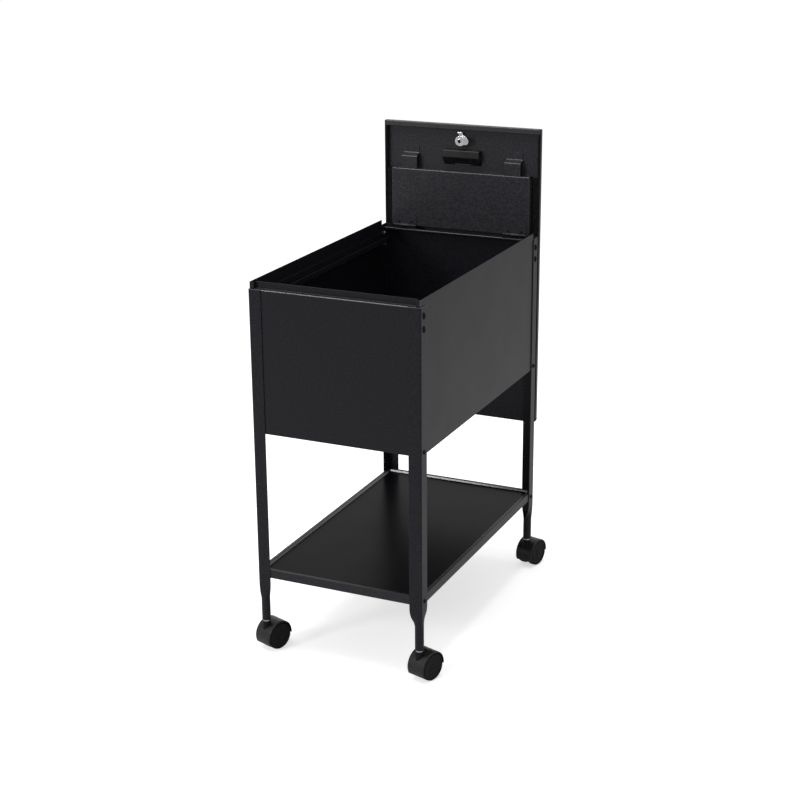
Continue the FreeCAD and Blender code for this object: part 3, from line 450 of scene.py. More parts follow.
def pan_blank(half_x, half_y, low, high):
    """Start a pan as a box without its underside."""
    shape = bmesh.new()
    bmesh.ops.create_cube(shape, size=1)
    bmesh.ops.scale(shape, vec=(2 * half_x, 2 * half_y, high - low), verts=shape.verts)
    bmesh.ops.translate(shape, vec=(0, 0, (low + high) / 2), verts=shape.verts)
    shape.normal_update()
    underside = [face for face in shape.faces if face.normal.z < -level_normal]
    bmesh.ops.delete(shape, geom=underside, context="FACES")
    return shape


def round_folds(shape, radius, segments=4):
    """Round every fold of a pressed sheet."""
    folds = [edge for edge in shape.edges if len(edge.link_faces) == 2
             and edge.calc_face_angle() > fold_angle]
    bmesh.ops.bevel(shape, geom=folds, offset=radius, segments=segments, profile=0.5,
                    affect="EDGES", material=-1)


shape = pan_blank(floor_half_x, floor_half_y, tub_base, floor_top)
round_folds(shape, tub_fold)
tub_floor = make_piece("pressed_tub_floor", shape, steel_coat, "frame", "black_powder_coat",
                       "tub_floor")
thicken(tub_floor, sheet_gauge)
ease_edges(tub_floor)

# Hanging rails: hooked strips of 1.2 mm sheet along the side walls, coated with the tub.
# Each is spot welded to its wall, and its upturned lip carries what hangs in the tub.
rail_x = 168.9
rail_lip_x = 154.2
rail_base = 694.0
rail_lip_top = 706.0
rail_top = 714.0
rail_end = 267.4
rail_fold = 1.6
rail_gauge = 1.2
for hand, side in (("right", 1), ("left", -1)):
    shape = bmesh.new()
    profile = [(rail_x, rail_top), (rail_x, rail_base), (rail_lip_x, rail_base),
               (rail_lip_x, rail_lip_top)]
    folded(shape, [(side * x, -rail_end, z) for x, z in profile], (0, 2 * rail_end, 0), rail_fold)
    face_towards(shape, (0, 0, -1))
    rail = make_piece(f"folded_rail_{hand}", shape, steel_coat, "frame", "black_powder_coat",
                      f"hanging_rail_{hand}")
    rail.data.materials.append(fold_coat)
    thicken(rail, rail_gauge)
    ease_edges(rail)

# Shelf: a pressed pan with a raised rim all round and a flange turned down inside the legs.
# The middle is sunk 4.5 mm behind a sloped step, so that what stands on it can't slide off.
# Painted light and shade: the rim is a lighter black than the tub, the sunk deck a deeper, smoother
# one.
shelf_half_x = 169.9
shelf_half_y = 294.4
shelf_base = 157.0
shelf_top = 174.0
shelf_rim = 9.0
shelf_sink = 4.5
shelf_slope = 2.1
shelf_fold = 0.9
step_past_slope = 0.3
slack = 0.1
shelf_rim_lit_black = (0.0120, 0.0117, 0.0144)
shelf_rim_lit_fleck = (0.0255, 0.0250, 0.0298)
deck_shaded_black = (0.0018, 0.0017, 0.0024)
deck_shaded_fleck = (0.0042, 0.0040, 0.0053)
shape = pan_blank(shelf_half_x, shelf_half_y, shelf_base, shelf_top)
deck = [face for face in shape.faces if face.normal.z > level_normal]
bmesh.ops.inset_region(shape, faces=deck, thickness=shelf_rim - shelf_slope, use_even_offset=True)
bmesh.ops.inset_region(shape, faces=deck, thickness=shelf_slope, depth=-shelf_sink,
                       use_even_offset=True)
round_folds(shape, shelf_fold, 3)
for face in shape.faces:
    middle = face.calc_center_median()
    past_deck = max(abs(middle.x) - shelf_half_x, abs(middle.y) - shelf_half_y) + shelf_rim
    if past_deck < slack:
        face.material_index = 2
    elif past_deck < shelf_slope + step_past_slope:
        face.material_index = 1
# Rim and deck are one pressed sheet; their two blacks are painted light and painted shade.
shelf_rim_lit_coat = powder_coat("shelf_rim_painted_light_coat", shelf_rim_lit_black, shelf_rim_lit_fleck)
deck_shade_coat = powder_coat("shelf_deck_painted_shade_coat", deck_shaded_black, deck_shaded_fleck, shine=0.029, roughness=0.29)
step_coat = smooth_coat("smooth_step_coat", 1.0, smooth=0.28, rough=0.34)
shelf = make_piece("pressed_shelf", shape, shelf_rim_lit_coat, "frame", "black_powder_coat", "shelf")
shelf.data.materials.append(step_coat)
shelf.data.materials.append(deck_shade_coat)
thicken(shelf, sheet_gauge)
ease_edges(shelf)

# Hinge leaves and pins: two short butt hinges, the fixed leaf on the rear flange and
# the moving leaf on the guide plate. Fixed leaf as the tub, moving leaf in the lid's
# painted-lighter coat; pins bright steel.
# The lid's coat is the tub's black painted lighter: painted light on the lid, plate, hooks and
# leaves.
lid_lit_black = (0.0152, 0.0149, 0.0180)
lid_lit_fleck = (0.0325, 0.0320, 0.0378)
lid_lit_coat = powder_coat("lid_powder_coat_painted_light", lid_lit_black, lid_lit_fleck)
for hand in ("right", "left"):
    clothe(f"hinge_fixed_leaf_{hand}", steel_coat)
    clothe(f"hinge_moving_leaf_{hand}", lid_lit_coat)
    clothe(f"hinge_pin_{hand}", zinc)

# Hinge rivets: domed heads in front of the moving leaf, flat clinched tails behind the plate.
# Blackened steel like the leg screws.
rivet_columns = (-137.5, -108.5, 108.5, 137.5)
rivet_front = 288.5
rivet_back = 291.2
rivet_z = 737.5
rivet_radius = 3.0
rivet_shank = 1.6
profile = [(rivet_front - 1.2, 0), (rivet_front - 1.1, 0.9), (rivet_front - 0.8, 1.8),
           (rivet_front - 0.35, 2.6), (rivet_front, rivet_radius), (rivet_front, rivet_shank),
           (rivet_back, rivet_shank), (rivet_back, rivet_radius), (rivet_back + 0.9, rivet_radius),
           (rivet_back + 1.2, 2.6), (rivet_back + 1.2, 0)]
shape = bmesh.new()
for x in rivet_columns:
    points = [(x, y, rivet_z + radius) for y, radius in profile]
    turned(shape, points, (x, 0, rivet_z), (0, 1, 0), 20)
rivets = make_piece("domed_hinge_rivets", shape, screw_finish, "link", "black_screw",
                    "hinge_rivets")
ease_edges(rivets, 0.1)

# Guide plate: a hat section of 1.2 mm sheet that swings on the hinges.
# Its two feet run behind the lid's lips, and its top edge is turned back against the lid.
# The plate has the lid's painted-lighter coat; its feet carry a dead black coat, painted shade for
# the dark strips beside it.
plate_half = 153.3
plate_front = 290.0
plate_base = 729.4
plate_top = 849.9
plate_back = 306.7
plate_bend = 1.8
plate_gauge = 1.2
flat_half = plate_half - plate_bend
flat_top = plate_top - plate_bend
foot_half = 171.0
foot_front = 298.3
foot_start = plate_half + 0.5
shade_strip_dark = (0.0036, 0.0036, 0.0039)
shade_strip_light = (0.0070, 0.0070, 0.0074)
# Dead black on the plate's feet and the lid's side lips: painted shade in the strips beside the
# plate.
shade_strip_coat = new_finish("painted_shade_strip_coat", metallic=0.0, shine=0.04)
tint(shade_strip_coat, grain(shade_strip_coat, size=6, detail=3), shade_strip_dark, shade_strip_light)
dull(shade_strip_coat, grain(shade_strip_coat, size=20, detail=2, stretch=(1, 1, 0.1)), 0.55, 0.75)
shape = bmesh.new()
plan = [(-foot_half, foot_front), (-plate_half, foot_front), (-plate_half, plate_front),
        (plate_half, plate_front), (plate_half, foot_front), (foot_half, foot_front)]
folded(shape, [(x, y, plate_base) for x, y in plan], (0, 0, flat_top - plate_base), plate_bend)
profile = [(plate_front, flat_top), (plate_front, plate_top), (plate_back, plate_top)]
folded(shape, [(-flat_half, y, z) for y, z in profile], (2 * flat_half, 0, 0), plate_bend)
bmesh.ops.remove_doubles(shape, verts=shape.verts, dist=0.02)
for face in shape.faces:
    if abs(face.calc_center_median().x) > foot_start:
        face.material_index = 2
face_towards(shape, (0, -1, 0))
plate = make_piece("folded_guide_plate", shape, lid_lit_coat, "link", "black_powder_coat",
                   "guide_plate")
plate.data.materials.append(satin_fold_coat)
plate.data.materials.append(shade_strip_coat)
thicken(plate, plate_gauge)
ease_edges(plate)

# Lid pan: a 1 mm panel with flanges on three sides that turn in again as narrow lips.
# The hinge end is left open with rounded corners, and a window takes the finger pull.
# Coated like the guide plate, lighter as painted light, with dead black painted shade on the lips
# at the sides.
lid_half = 172.5
lid_front = 297.0
lid_back = 308.0
lid_base = 322.5
lid_flange_base = 334.5
lid_top = 946.5
lid_side_lip = 5.0
lid_front_lip = 10.0
lid_corner = 11.8
lid_fold = 1.6
lip_depth = 0.8
pull_half = 41.0
pull_base = 862.0
pull_top = 894.0
window_gap = 0.2
shape = bmesh.new()
bmesh.ops.create_cube(shape, size=1)
bmesh.ops.scale(shape, vec=(2 * lid_half, lid_back - lid_front, lid_top - lid_flange_base),
                verts=shape.verts)
bmesh.ops.translate(shape, vec=(0, (lid_front + lid_back) / 2, (lid_top + lid_flange_base) / 2),
                    verts=shape.verts)
cut_out(shape, lambda middle: middle.z < lid_flange_base + 1)
tail = [edge for edge in shape.edges if all(vert.co.z < lid_flange_base + 1
                                            and vert.co.y > lid_back - 1 for vert in edge.verts)]
folds = [edge for edge in shape.edges if len(edge.link_faces) == 2]
grown = bmesh.ops.extrude_edge_only(shape, edges=tail)["geom"]
bmesh.ops.translate(shape, vec=(0, 0, lid_base - lid_flange_base), verts=only_verts(grown))
bmesh.ops.bevel(shape, geom=only_verts(grown), offset=lid_corner, segments=6, profile=0.5,
                affect="VERTICES", material=-1)
bends = bmesh.ops.bevel(shape, geom=folds, offset=lid_fold, segments=4, profile=0.5,
                        affect="EDGES", material=-1)["faces"]
for face in bends:
    face.material_index = 1
for side in (-1, 1):
    score(shape, (side * (lid_half - lid_side_lip), 0, 0), (1, 0, 0))
score(shape, (0, 0, lid_top - lid_front_lip), (0, 0, 1))
cut_out(shape, lambda middle: middle.y < lid_front + slack
        and abs(middle.x) < lid_half - lid_side_lip and middle.z < lid_top - lid_front_lip)
for side in (-1, 1):
    score(shape, (side * (pull_half + window_gap), 0, 0), (1, 0, 0))
for edge_z in (pull_base - window_gap, pull_top + window_gap):
    score(shape, (0, 0, edge_z), (0, 0, 1))
cut_out(shape, lambda middle: middle.y > lid_back - slack and abs(middle.x) < pull_half
        and pull_base < middle.z < pull_top)
for face in shape.faces:
    middle = face.calc_center_median()
    if middle.y < lid_front + slack and middle.z > lid_top - lid_front_lip:
        face.material_index = 1
    elif middle.y < lid_front + lip_depth and abs(middle.x) > lid_half - lid_side_lip:
        face.material_index = 2
face_towards(shape, (0, 1, 0))
lid = make_piece("pressed_lid", shape, lid_lit_coat, "lid", "black_powder_coat", "lid_pan")
lid.data.materials.append(satin_fold_coat)
lid.data.materials.append(shade_strip_coat)
thicken(lid, sheet_gauge)
ease_edges(lid)

# Stop hooks: 1.5 mm straps bent into a sloped step and spot welded inside the lid.
# The hanging tab comes down on the top edge of the guide plate.
hook_span = (97.0, 132.0)
hook_front = 292.0
hook_back = 305.5
hook_base = 850.2
hook_corner = 876.2
hook_web = 880.7
hook_top = 896.7
hook_fold = 1.6
hook_tip_round = 1.5
hook_gauge = 1.5
profile = [(hook_front, hook_base), (hook_front, hook_corner), (hook_back, hook_web),
           (hook_back, hook_top)]
for hand, side in (("right", 1), ("left", -1)):
    shape = bmesh.new()
    strap = side * (hook_span[1] - hook_span[0])
    folded(shape, [(side * hook_span[0], y, z) for y, z in profile], (strap, 0, 0), hook_fold)
    tips = [vert for vert in shape.verts if vert.co.z < hook_base + slack
            or vert.co.z > hook_top - slack]
    bmesh.ops.bevel(shape, geom=tips, offset=hook_tip_round, segments=3, profile=0.5,
                    affect="VERTICES", material=-1)
    face_towards(shape, (0, -1, 0))
    # The straps take the lid's lighter coat, painted light.
    hook = make_piece(f"bent_stop_hook_{hand}", shape, lid_lit_coat, "lid", "black_powder_coat",
                      f"stop_hook_{hand}")
    hook.data.materials.append(satin_fold_coat)
    thicken(hook, hook_gauge)
    ease_edges(hook)

# Finger pull: a moulded plastic cup pressed through the lid, with a bezel on the outside.
# Its inner face stands proud of the panel, and its underside slopes back to the lid
# with a shallow recess in the middle.
cup_front = 292.0
cup_face = 15.5
cup_heel = 1.0
cup_round = 1.6
cup_wall = 1.5
cup_edge_angle = 0.2
grip_half = 19.0
grip_rim = 1.5
grip_slope = 0.8
grip_sink = 1.2
grip_area = 200.0
bezel = 5.0
bezel_back = 309.5
moulded_dark = (0.0058, 0.0058, 0.0066)
moulded_light = (0.0100, 0.0100, 0.0112)
moulded = new_finish("moulded_black_plastic", metallic=0.0, shine=0.27)
tint(moulded, grain(moulded, size=14, detail=3), moulded_dark, moulded_light)
dull(moulded, grain(moulded, size=25, detail=2), 0.30, 0.40)
pebble(moulded, grain(moulded, size=0.8, detail=2), strength=0.15, height=0.08)
shape = bmesh.new()
side_view = [(cup_front, pull_top), (cup_front, pull_top - cup_face),
             (lid_back - cup_heel, pull_base), (lid_back, pull_base), (lid_back, pull_top)]
end = shape.faces.new([shape.verts.new((-pull_half, y, z)) for y, z in side_view])
grown = bmesh.ops.extrude_face_region(shape, geom=[end])["geom"]
bmesh.ops.translate(shape, vec=(2 * pull_half, 0, 0), verts=only_verts(grown))
bmesh.ops.recalc_face_normals(shape, faces=shape.faces)
cut_out(shape, lambda middle: middle.y > lid_back - touch)
sharp = [edge for edge in shape.edges if len(edge.link_faces) == 2
         and edge.calc_face_angle() > cup_edge_angle
         and min(vert.co.y for vert in edge.verts) < lid_back - 2 * cup_heel]
bmesh.ops.bevel(shape, geom=sharp, offset=cup_round, segments=4, profile=0.5, affect="EDGES",
                material=-1)
for side in (-1, 1):
    score(shape, (side * grip_half, 0, 0), (1, 0, 0))
shape.normal_update()
grip = [face for face in shape.faces if face.normal.z < -0.4
        and abs(face.calc_center_median().x) < 1 and face.calc_area() > grip_area]
bmesh.ops.inset_region(shape, faces=grip, thickness=grip_rim)
bmesh.ops.inset_region(shape, faces=grip, thickness=grip_slope, depth=-grip_sink)
mouth = [edge for edge in shape.edges if edge.is_boundary]
grown = bmesh.ops.extrude_edge_only(shape, edges=mouth)["geom"]
for vert in only_verts(grown):
    vert.co.y = bezel_back
grown = bmesh.ops.extrude_edge_only(shape, edges=only_edges(grown))["geom"]
middle_z = (pull_base + pull_top) / 2
for vert in only_verts(grown):
    vert.co.x += math.copysign(bezel, vert.co.x)
    vert.co.z += math.copysign(bezel, vert.co.z - middle_z)
face_towards(shape, (0, -1, 0))
pull = make_piece("moulded_finger_pull", shape, moulded, "lid", "black_plastic", "finger_pull")
thicken(pull, cup_wall)
ease_edges(pull, 0.4)

# Lock housing: a chromed die-cast barrel with a round face, pushed through the lid from outside.
# The barrel is threaded for the nut that clamps it.
lock_z = 914.0
lock_back = 310.0
lock_face_radius = 12.5
barrel_end = 291.0
barrel_radius = 9.0
plug_bore = 6.1
thread_start = 1.5
thread_pitch = 1.2
thread_depth = 0.45
chrome_dark = (0.50, 0.50, 0.51)
chrome_light = (0.68, 0.68, 0.69)
chrome = new_finish("bright_chrome", metallic=1.0, shine=0.5)
tint(chrome, grain(chrome, size=8, detail=2), chrome_dark, chrome_light)
dull(chrome, grain(chrome, size=1.2, detail=3), 0.08, 0.20)
profile = [(lock_back, plug_bore), (lock_back, 11.3), (lock_back - 0.5, 12.2),
           (lock_back - 1.2, lock_face_radius), (lid_back, lock_face_radius),
           (lid_back, barrel_radius)]
thread = lid_back - thread_start
while thread > barrel_end + thread_pitch:
    profile += [(thread, barrel_radius), (thread - 0.55, barrel_radius - thread_depth),
                (thread - 1.1, barrel_radius)]
    thread -= thread_pitch
profile += [(barrel_end + 0.4, barrel_radius - 0.2), (barrel_end, barrel_radius - 0.7),
            (barrel_end, plug_bore), (lock_back, plug_bore)]
shape = bmesh.new()
points = [(0, y, lock_z + radius) for y, radius in profile]
turned(shape, points, (0, 0, lock_z), (0, 1, 0), 40)
housing = make_piece("lock_barrel_and_face", shape, chrome, "lid", "bright_chrome", "lock_housing")
ease_edges(housing, 0.1)

# Lock nut: a large chromed hexagon nut, with a flat tab that stops the cam's turn.
# It clamps the barrel from inside the lid.
nut_radius = 12.5
nut_bore = 8.7
nut_span = (301.0, 307.0)
nut_cuts = 3
tab_gauge = 1.5
tab_corners = [(-2.5, lock_z), (4.5, lock_z), (4.5, 922.0), (1.5, 930.5), (-8.5, 930.5),
               (-8.5, 926.5), (-2.5, 925.0)]


def across_lock(depth):
    """Lay an outline square to the lock's axis, at a depth."""
    return Matrix.Translation((0, depth, lock_z)) @ Matrix.Rotation(math.radians(90), 4, "X")


shape = bmesh.new()
flat_on = across_lock(nut_span[0])
bmesh.ops.create_circle(shape, segments=6, radius=nut_radius, matrix=flat_on)
bmesh.ops.subdivide_edges(shape, edges=shape.edges[:], cuts=nut_cuts)
bmesh.ops.create_circle(shape, segments=6 * (nut_cuts + 1), radius=nut_bore, matrix=flat_on)
bmesh.ops.bridge_loops(shape, edges=shape.edges[:])
grown = bmesh.ops.extrude_face_region(shape, geom=shape.faces[:])["geom"]
bmesh.ops.translate(shape, vec=(0, nut_span[1] - nut_span[0], 0), verts=only_verts(grown))
tab_y = nut_span[0] - tab_gauge
tab = shape.faces.new([shape.verts.new((x, tab_y, z)) for x, z in tab_corners])
grown = bmesh.ops.extrude_face_region(shape, geom=[tab])["geom"]
bmesh.ops.translate(shape, vec=(0, tab_gauge, 0), verts=only_verts(grown))
bmesh.ops.recalc_face_normals(shape, faces=shape.faces)
nut = make_piece("lock_nut_with_tab", shape, chrome, "lid", "bright_chrome", "lock_nut")
ease_edges(nut, 0.5)

# Lock plug: the turning core with its key slot, flush with the face of the barrel.
# Turned from brass and chromed with the barrel.
plug_radius = 6.0
plug_end = 290.7
slot_half = (0.8, 3.5)
slot_depth = 8.0
shape = bmesh.new()
bmesh.ops.create_circle(shape, cap_ends=True, segments=40, radius=plug_radius,
                        matrix=across_lock(lock_back))
for way in (-1, 1):
    score(shape, (way * slot_half[0], 0, 0), (1, 0, 0))
    score(shape, (0, 0, lock_z + way * slot_half[1]), (0, 0, 1))
keyway = [face for face in shape.faces if abs(face.calc_center_median().x) < slack
          and abs(face.calc_center_median().z - lock_z) < 1]
edge_loop = [edge for edge in shape.edges if edge.is_boundary]
grown = bmesh.ops.extrude_face_region(shape, geom=keyway)["geom"]
bmesh.ops.translate(shape, vec=(0, -slot_depth, 0), verts=only_verts(grown))
bmesh.ops.delete(shape, geom=[face for face in keyway if face.is_valid], context="FACES_ONLY")
grown = bmesh.ops.extrude_edge_only(shape, edges=edge_loop)["geom"]
bmesh.ops.translate(shape, vec=(0, plug_end - lock_back, 0), verts=only_verts(grown))
bmesh.ops.holes_fill(shape, edges=only_edges(grown))
bmesh.ops.recalc_face_normals(shape, faces=shape.faces)
plug = make_piece("lock_plug_with_keyway", shape, chrome, "lock", "bright_chrome", "lock_plug")
ease_edges(plug, 0.2)

# Lock cam: a 2 mm plated arm on the end of the plug, which turns under the keeper.
# Punched from sheet with rounded ends.
cam_front = 288.7
arm = [(-10, -10), (4, -10), (9, -7.5), (19.5, -7.5), (19.5, 7.5), (9, 7.5), (4, 10), (-10, 10)]
arm_ends = {-10: 9.9, 19.5: 7.4}  # reach: rounding of the corners there
shape = bmesh.new()
shape.faces.new([shape.verts.new((x, cam_front, lock_z + z)) for x, z in arm])
for reach, radius in arm_ends.items():
    ends = [vert for vert in shape.verts if abs(vert.co.x - reach) < touch]
    bmesh.ops.bevel(shape, geom=ends, offset=radius, segments=8, profile=0.5, affect="VERTICES",
                    material=-1)
grown = bmesh.ops.extrude_face_region(shape, geom=shape.faces[:])["geom"]
bmesh.ops.translate(shape, vec=(0, plug_end - cam_front, 0), verts=only_verts(grown))
bmesh.ops.recalc_face_normals(shape, faces=shape.faces)
cam = make_piece("lock_cam_arm", shape, chrome, "lock", "bright_chrome", "lock_cam")
ease_edges(cam, 0.35)

# Cam screw: a small hexagon head on a thin washer, which holds the cam to the plug.
# Chromed with the lock, its hexagon socket painted black: painted shade in the recess.
cam_head_y = 287.4
cam_head_depth = 2.0
cam_head_radius = 4.7
crown_limit = 286.6
crown_rim = 0.9
crown_rise = 0.2
socket_slope = 0.2
socket_depth = 1.6
washer_front = 288.2
washer_radius = 5.0
shape = bmesh.new()
bmesh.ops.create_cone(shape, cap_ends=True, segments=6, radius1=cam_head_radius,
                      radius2=cam_head_radius, depth=cam_head_depth, matrix=across_lock(cam_head_y))
crown = [face for face in shape.faces if face.calc_center_median().y < crown_limit]
bmesh.ops.inset_region(shape, faces=crown, thickness=crown_rim, depth=crown_rise)
socket = bmesh.ops.inset_region(shape, faces=crown, thickness=socket_slope,
                                depth=-socket_depth)["faces"]
# The socket's floor and walls take the black screw finish as painted shade.
for face in crown + socket:
    face.material_index = 1
washer = [(cam_front, 0), (cam_front, washer_radius), (washer_front, washer_radius),
          (washer_front, 0)]
points = [(0, y, lock_z + radius) for y, radius in washer]
turned(shape, points, (0, 0, lock_z), (0, 1, 0), 24)
cam_screw = make_piece("cam_screw_with_washer", shape, chrome, "lock", "bright_chrome", "cam_screw")
cam_screw.data.materials.append(screw_finish)
ease_edges(cam_screw, 0.2)

# Lock keeper: a small plated angle welded inside the front band, which the cam turns under.
# Folded from zinc-plated sheet.
clothe("lock_keeper", zinc)

# Caster stems, axles and sockets: turned steel, bright zinc plated.
# The stem's collar shows as a bright ring between the leg's neck and the hood.
clothe("caster_sockets", zinc)
for corner in corners:
    clothe(f"caster_{corner}_stem", zinc)
    clothe(f"caster_{corner}_axle", zinc)

# Caster hoods: moulded nylon half shells over the twin wheels, with tight shoulders.
# A boss takes the stem's collar in a thin lip, and a web between the wheels takes the axle.
# The web and the boss are a deeper black than the shell, painted shade under the collar; the shell
# has a satin face.
stem_x = 162.5
stem_y = 287.0
trail = 18.0
axle_z = 27.0
hood_half = 20.2
hood_outer = 31.0
hood_inner = 28.5
hood_front_skirt = 204.8
hood_rear_skirt = -1.9
hood_steps = 44
tip_inset = 0.9
tip_taper = 0.6
tip_arc = 40.0
web_half = 5.9
web_base = 15.0
web_radius = 29.5
boss_radius = 7.8
boss_base = 42.0
boss_top = 60.0
caster_turns = {"front_left": -20.0, "front_right": -18.0, "rear_left": -16.0, "rear_right": -13.0}
satin_dark = (0.0105, 0.0105, 0.0110)
satin_light = (0.0165, 0.0165, 0.0172)
boss_shade_dark = (0.0035, 0.0035, 0.0037)
boss_shade_light = (0.0062, 0.0062, 0.0065)


def set_under_leg(shape, corner):
    """Turn a caster piece about its stem and move it under its leg."""
    side, rear = corners[corner]
    turn = Matrix.Rotation(math.radians(caster_turns[corner]), 3, "Z")
    bmesh.ops.rotate(shape, cent=(0, 0, 0), matrix=turn, verts=shape.verts)
    bmesh.ops.translate(shape, vec=(side * stem_x, rear * stem_y, 0), verts=shape.verts)


satin_nylon = new_finish("satin_hood_nylon", metallic=0.0, shine=0.20)
tint(satin_nylon, grain(satin_nylon, size=10, detail=3), satin_dark, satin_light)
dull(satin_nylon, grain(satin_nylon, size=18, detail=2), 0.32, 0.44)
pebble(satin_nylon, grain(satin_nylon, size=0.7, detail=2), strength=0.12, height=0.05)
boss_shade_nylon = new_finish("painted_shade_nylon", metallic=0.0, shine=0.10)
tint(boss_shade_nylon, grain(boss_shade_nylon, size=8, detail=3), boss_shade_dark, boss_shade_light)
dull(boss_shade_nylon, grain(boss_shade_nylon, size=12, detail=2), 0.50, 0.65)
half_section = [(17.4, hood_outer), (19.0, hood_outer - 0.3), (19.9, hood_outer - 1.0),
                (hood_half, hood_outer - 2.0), (hood_half, hood_inner + 0.2), (20.0, hood_inner)]
section = half_section + [(-x, radius) for x, radius in reversed(half_section)]
boss = [(0, boss_base), (boss_radius, boss_base), (boss_radius, boss_top + 2.0),
        (boss_radius - 0.3, boss_top + 2.3), (boss_radius - 0.35, boss_top), (0, boss_top)]
for corner in corners:
    shape = bmesh.new()
    verts = [shape.verts.new((x, trail + radius, axle_z)) for x, radius in section]
    edges = [shape.edges.new(pair) for pair in zip(verts, verts[1:] + verts[:1])]
    bmesh.ops.rotate(shape, cent=(0, trail, axle_z), verts=verts,
                     matrix=Matrix.Rotation(math.radians(hood_rear_skirt), 3, "X"))
    swept = bmesh.ops.spin(shape, geom=verts + edges, cent=(0, trail, axle_z), axis=(1, 0, 0),
                           angle=math.radians(hood_front_skirt - hood_rear_skirt),
                           steps=hood_steps)["geom_last"]
    bmesh.ops.contextual_create(shape, geom=edges)
    bmesh.ops.contextual_create(shape, geom=only_edges(swept))
    bmesh.ops.recalc_face_normals(shape, faces=shape.faces)
    for vert in shape.verts:
        out = Vector((vert.co.y - trail, vert.co.z - axle_z))
        near_tip = 0.0
        if out.x > 0:
            near_tip = 1 - math.degrees(math.atan2(out.y, out.x)) / tip_arc
        near_tip = min(1.0, max(0.0, near_tip))
        wall = (out.length - hood_inner) * (1 - tip_taper * near_tip)
        out.length = hood_inner + wall - tip_inset * near_tip
        vert.co.y, vert.co.z = trail + out.x, axle_z + out.y
    disc_on = (Matrix.Translation((-web_half, trail, axle_z))
               @ Matrix.Rotation(math.radians(90), 4, "Y"))
    disc = bmesh.new()
    bmesh.ops.create_circle(disc, cap_ends=True, segments=48, radius=web_radius, matrix=disc_on)
    bmesh.ops.bisect_plane(disc, geom=disc.verts[:] + disc.edges[:] + disc.faces[:],
                           plane_co=(0, 0, web_base), plane_no=(0, 0, 1), clear_inner=True)
    grown = bmesh.ops.extrude_face_region(disc, geom=disc.faces[:])["geom"]
    bmesh.ops.translate(disc, vec=(2 * web_half, 0, 0), verts=only_verts(grown))
    bmesh.ops.recalc_face_normals(disc, faces=disc.faces)
    turned(disc, [(radius, 0, z) for radius, z in boss], (0, 0, 0), (0, 0, 1), 36)
    # The web and the boss take the darker nylon: painted shade.
    for face in disc.faces:
        face.material_index = 1
    web_and_boss = bpy.data.meshes.new("web_and_boss")
    disc.to_mesh(web_and_boss)
    disc.free()
    shape.from_mesh(web_and_boss)
    bpy.data.meshes.remove(web_and_boss)
    set_under_leg(shape, corner)
    hood = make_piece(f"moulded_hood_{corner}", shape, satin_nylon, f"caster_{corner}",
                      "black_plastic", f"caster_{corner}_hood")
    hood.data.materials.append(boss_shade_nylon)
    ease_edges(hood)

# Caster wheels: solid moulded nylon, two to each hood, with a crowned tread and a dished face.
# They turn on the axle and stand just inside the hood's edges.
wheel_radius = 27.0
wheel_inner = 6.2
wheel_outer = 19.7
axle_hole = 3.05
wheel_dark = (0.0060, 0.0060, 0.0063)
wheel_light = (0.0105, 0.0105, 0.0110)
wheel_black = new_finish("wheel_nylon", metallic=0.0, shine=0.08)
tint(wheel_black, grain(wheel_black, size=6, detail=3), wheel_dark, wheel_light)
dull(wheel_black, grain(wheel_black, size=12, detail=2), 0.50, 0.65)
pebble(wheel_black, grain(wheel_black, size=0.9, detail=2), strength=0.15, height=0.06)
profile = [(17.5, 0), (17.5, axle_hole), (wheel_inner, axle_hole), (wheel_inner, 25.4),
           (6.6, 26.4), (7.6, 26.9), (12, wheel_radius), (16.4, 26.9), (18.0, 26.4), (19.1, 25.5),
           (wheel_outer, 24.0), (wheel_outer, 22.6), (19.3, 22.0), (18.9, 21.6), (18.8, 15.0),
           (18.9, 9.0), (19.3, 8.2), (wheel_outer, 7.4), (wheel_outer, 3.6), (19.3, 2.6), (19.2, 0)]
for corner in corners:
    for hand, side in (("left", -1), ("right", 1)):
        shape = bmesh.new()
        points = [(side * x, trail, axle_z + radius) for x, radius in profile]
        turned(shape, points, (0, trail, axle_z), (1, 0, 0), 56)
        set_under_leg(shape, corner)
        wheel = make_piece(f"turned_wheel_{corner}_{hand}", shape, wheel_black,
                           f"wheel_{corner}_{hand}", "wheel_black", f"caster_{corner}_wheel_{hand}")
        ease_edges(wheel, 0.2)

# Studio floor: a wide pale sheet that carries the soft shadow under the cabinet.
# It glows a little so that it stays as white as the backdrop where nothing shades it.
floor_size = 40
paper_white = (0.8, 0.8, 0.8, 1)
glow_to_camera = 0.60
glow_in_shine = 0.15
floor_mesh = bpy.data.meshes.new("studio_floor")
shape = bmesh.new()
bmesh.ops.create_grid(shape, x_segments=2, y_segments=2, size=floor_size)
shape.to_mesh(floor_mesh)
shape.free()
floor = bpy.data.objects.new("studio_floor", floor_mesh)
scene.collection.objects.link(floor)
paper = bpy.data.materials.new("white_paper")
paper.use_nodes = True
nodes = paper.node_tree.nodes
links = paper.node_tree.links
matt = nodes["Principled BSDF"]
matt.inputs["Base Color"].default_value = paper_white
matt.inputs["Roughness"].default_value = 1.0
matt.inputs["Specular IOR Level"].default_value = 0.0
glow = nodes.new("ShaderNodeEmission")
seen = nodes.new("ShaderNodeLightPath")
together = nodes.new("ShaderNodeAddShader")
glow_seen = nodes.new("ShaderNodeMath")
glow_seen.operation = "MULTIPLY"
glow_seen.inputs[1].default_value = glow_to_camera
glow_level = nodes.new("ShaderNodeMath")
glow_level.operation = "MULTIPLY_ADD"
glow_level.inputs[1].default_value = glow_in_shine
links.new(seen.outputs["Is Camera Ray"], glow_seen.inputs[0])
links.new(seen.outputs["Is Glossy Ray"], glow_level.inputs[0])
links.new(glow_seen.outputs["Value"], glow_level.inputs[2])
links.new(glow_level.outputs["Value"], glow.inputs["Strength"])
links.new(matt.outputs["BSDF"], together.inputs[0])
links.new(glow.outputs["Emission"], together.inputs[1])
links.new(together.outputs["Shader"], nodes["Material Output"].inputs["Surface"])
floor_mesh.materials.append(paper)

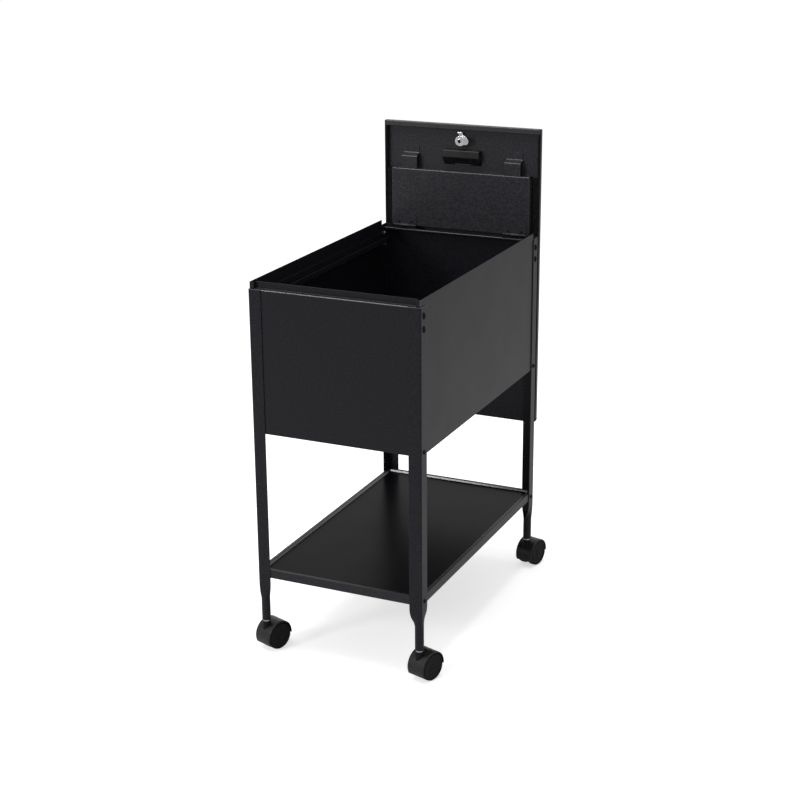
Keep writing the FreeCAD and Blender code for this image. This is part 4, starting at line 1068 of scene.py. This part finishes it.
# Backdrop: a plain white surround, far off on all sides.
# It is full white to the camera and in reflections, and a dimmer soft grey as light.
light_level = 0.50
seen_level = 1.0
world = bpy.data.worlds.new("studio")
world.use_nodes = True
nodes = world.node_tree.nodes
links = world.node_tree.links
sky = nodes["Background"]
sky.inputs["Color"].default_value = (1, 1, 1, 1)
seen = nodes.new("ShaderNodeLightPath")
sharp_rays = nodes.new("ShaderNodeMath")
sharp_rays.operation = "MAXIMUM"
clear_rays = nodes.new("ShaderNodeMath")
clear_rays.operation = "MAXIMUM"
level = nodes.new("ShaderNodeMapRange")
level.inputs["To Min"].default_value = light_level
level.inputs["To Max"].default_value = seen_level
links.new(seen.outputs["Is Camera Ray"], sharp_rays.inputs[0])
links.new(seen.outputs["Is Glossy Ray"], sharp_rays.inputs[1])
links.new(sharp_rays.outputs["Value"], clear_rays.inputs[0])
links.new(seen.outputs["Is Transmission Ray"], clear_rays.inputs[1])
links.new(clear_rays.outputs["Value"], level.inputs["Value"])
links.new(level.outputs["Result"], sky.inputs["Strength"])
scene.world = world


# Lamps: a large softbox overhead, one high on the left and a smaller one lower in front.
# Their places are in metres, their sizes are the side of the square, their powers are in watts.
def softbox(name, place, aim, size, power):
    """Hang a square softbox at a place, facing a point."""
    lamp = bpy.data.lights.new(name, "AREA")
    lamp.size = size
    lamp.energy = power
    box = bpy.data.objects.new(name, lamp)
    box.location = place
    box.rotation_euler = (Vector(aim) - Vector(place)).to_track_quat("-Z", "Y").to_euler()
    scene.collection.objects.link(box)


softbox("top_softbox", place=(0, 0, 3.4), aim=(0, 0, 0), size=1.2, power=50)
softbox("high_softbox", place=(-1.1, -0.9, 3.2), aim=(0, 0, 0.5), size=0.9, power=25)
softbox("left_softbox", place=(-1.75, -3.1, 1.95), aim=(0, 0, 0.6), size=0.7, power=42)

# Camera: stands to the right in front and looks down on the cabinet, as in the photograph.
# Its place is in metres, its turns in degrees: about the upright, down from level, and its roll.
camera_place = (1.29525, -2.82975, 1.48897)
camera_turn = 24.686
camera_dip = 18.532
camera_roll = -0.448
lens = bpy.data.cameras.new("camera")
lens.sensor_width = 36
lens.lens = 74.561
camera = bpy.data.objects.new("camera", lens)
aim = Matrix.Rotation(math.radians(camera_turn), 4, "Z")
tip = Matrix.Rotation(math.radians(90 - camera_dip), 4, "X")
roll = Matrix.Rotation(math.radians(camera_roll), 4, "Z")
camera.matrix_world = Matrix.Translation(camera_place) @ aim @ tip @ roll
scene.collection.objects.link(camera)
scene.camera = camera
scene.view_settings.view_transform = "Standard"
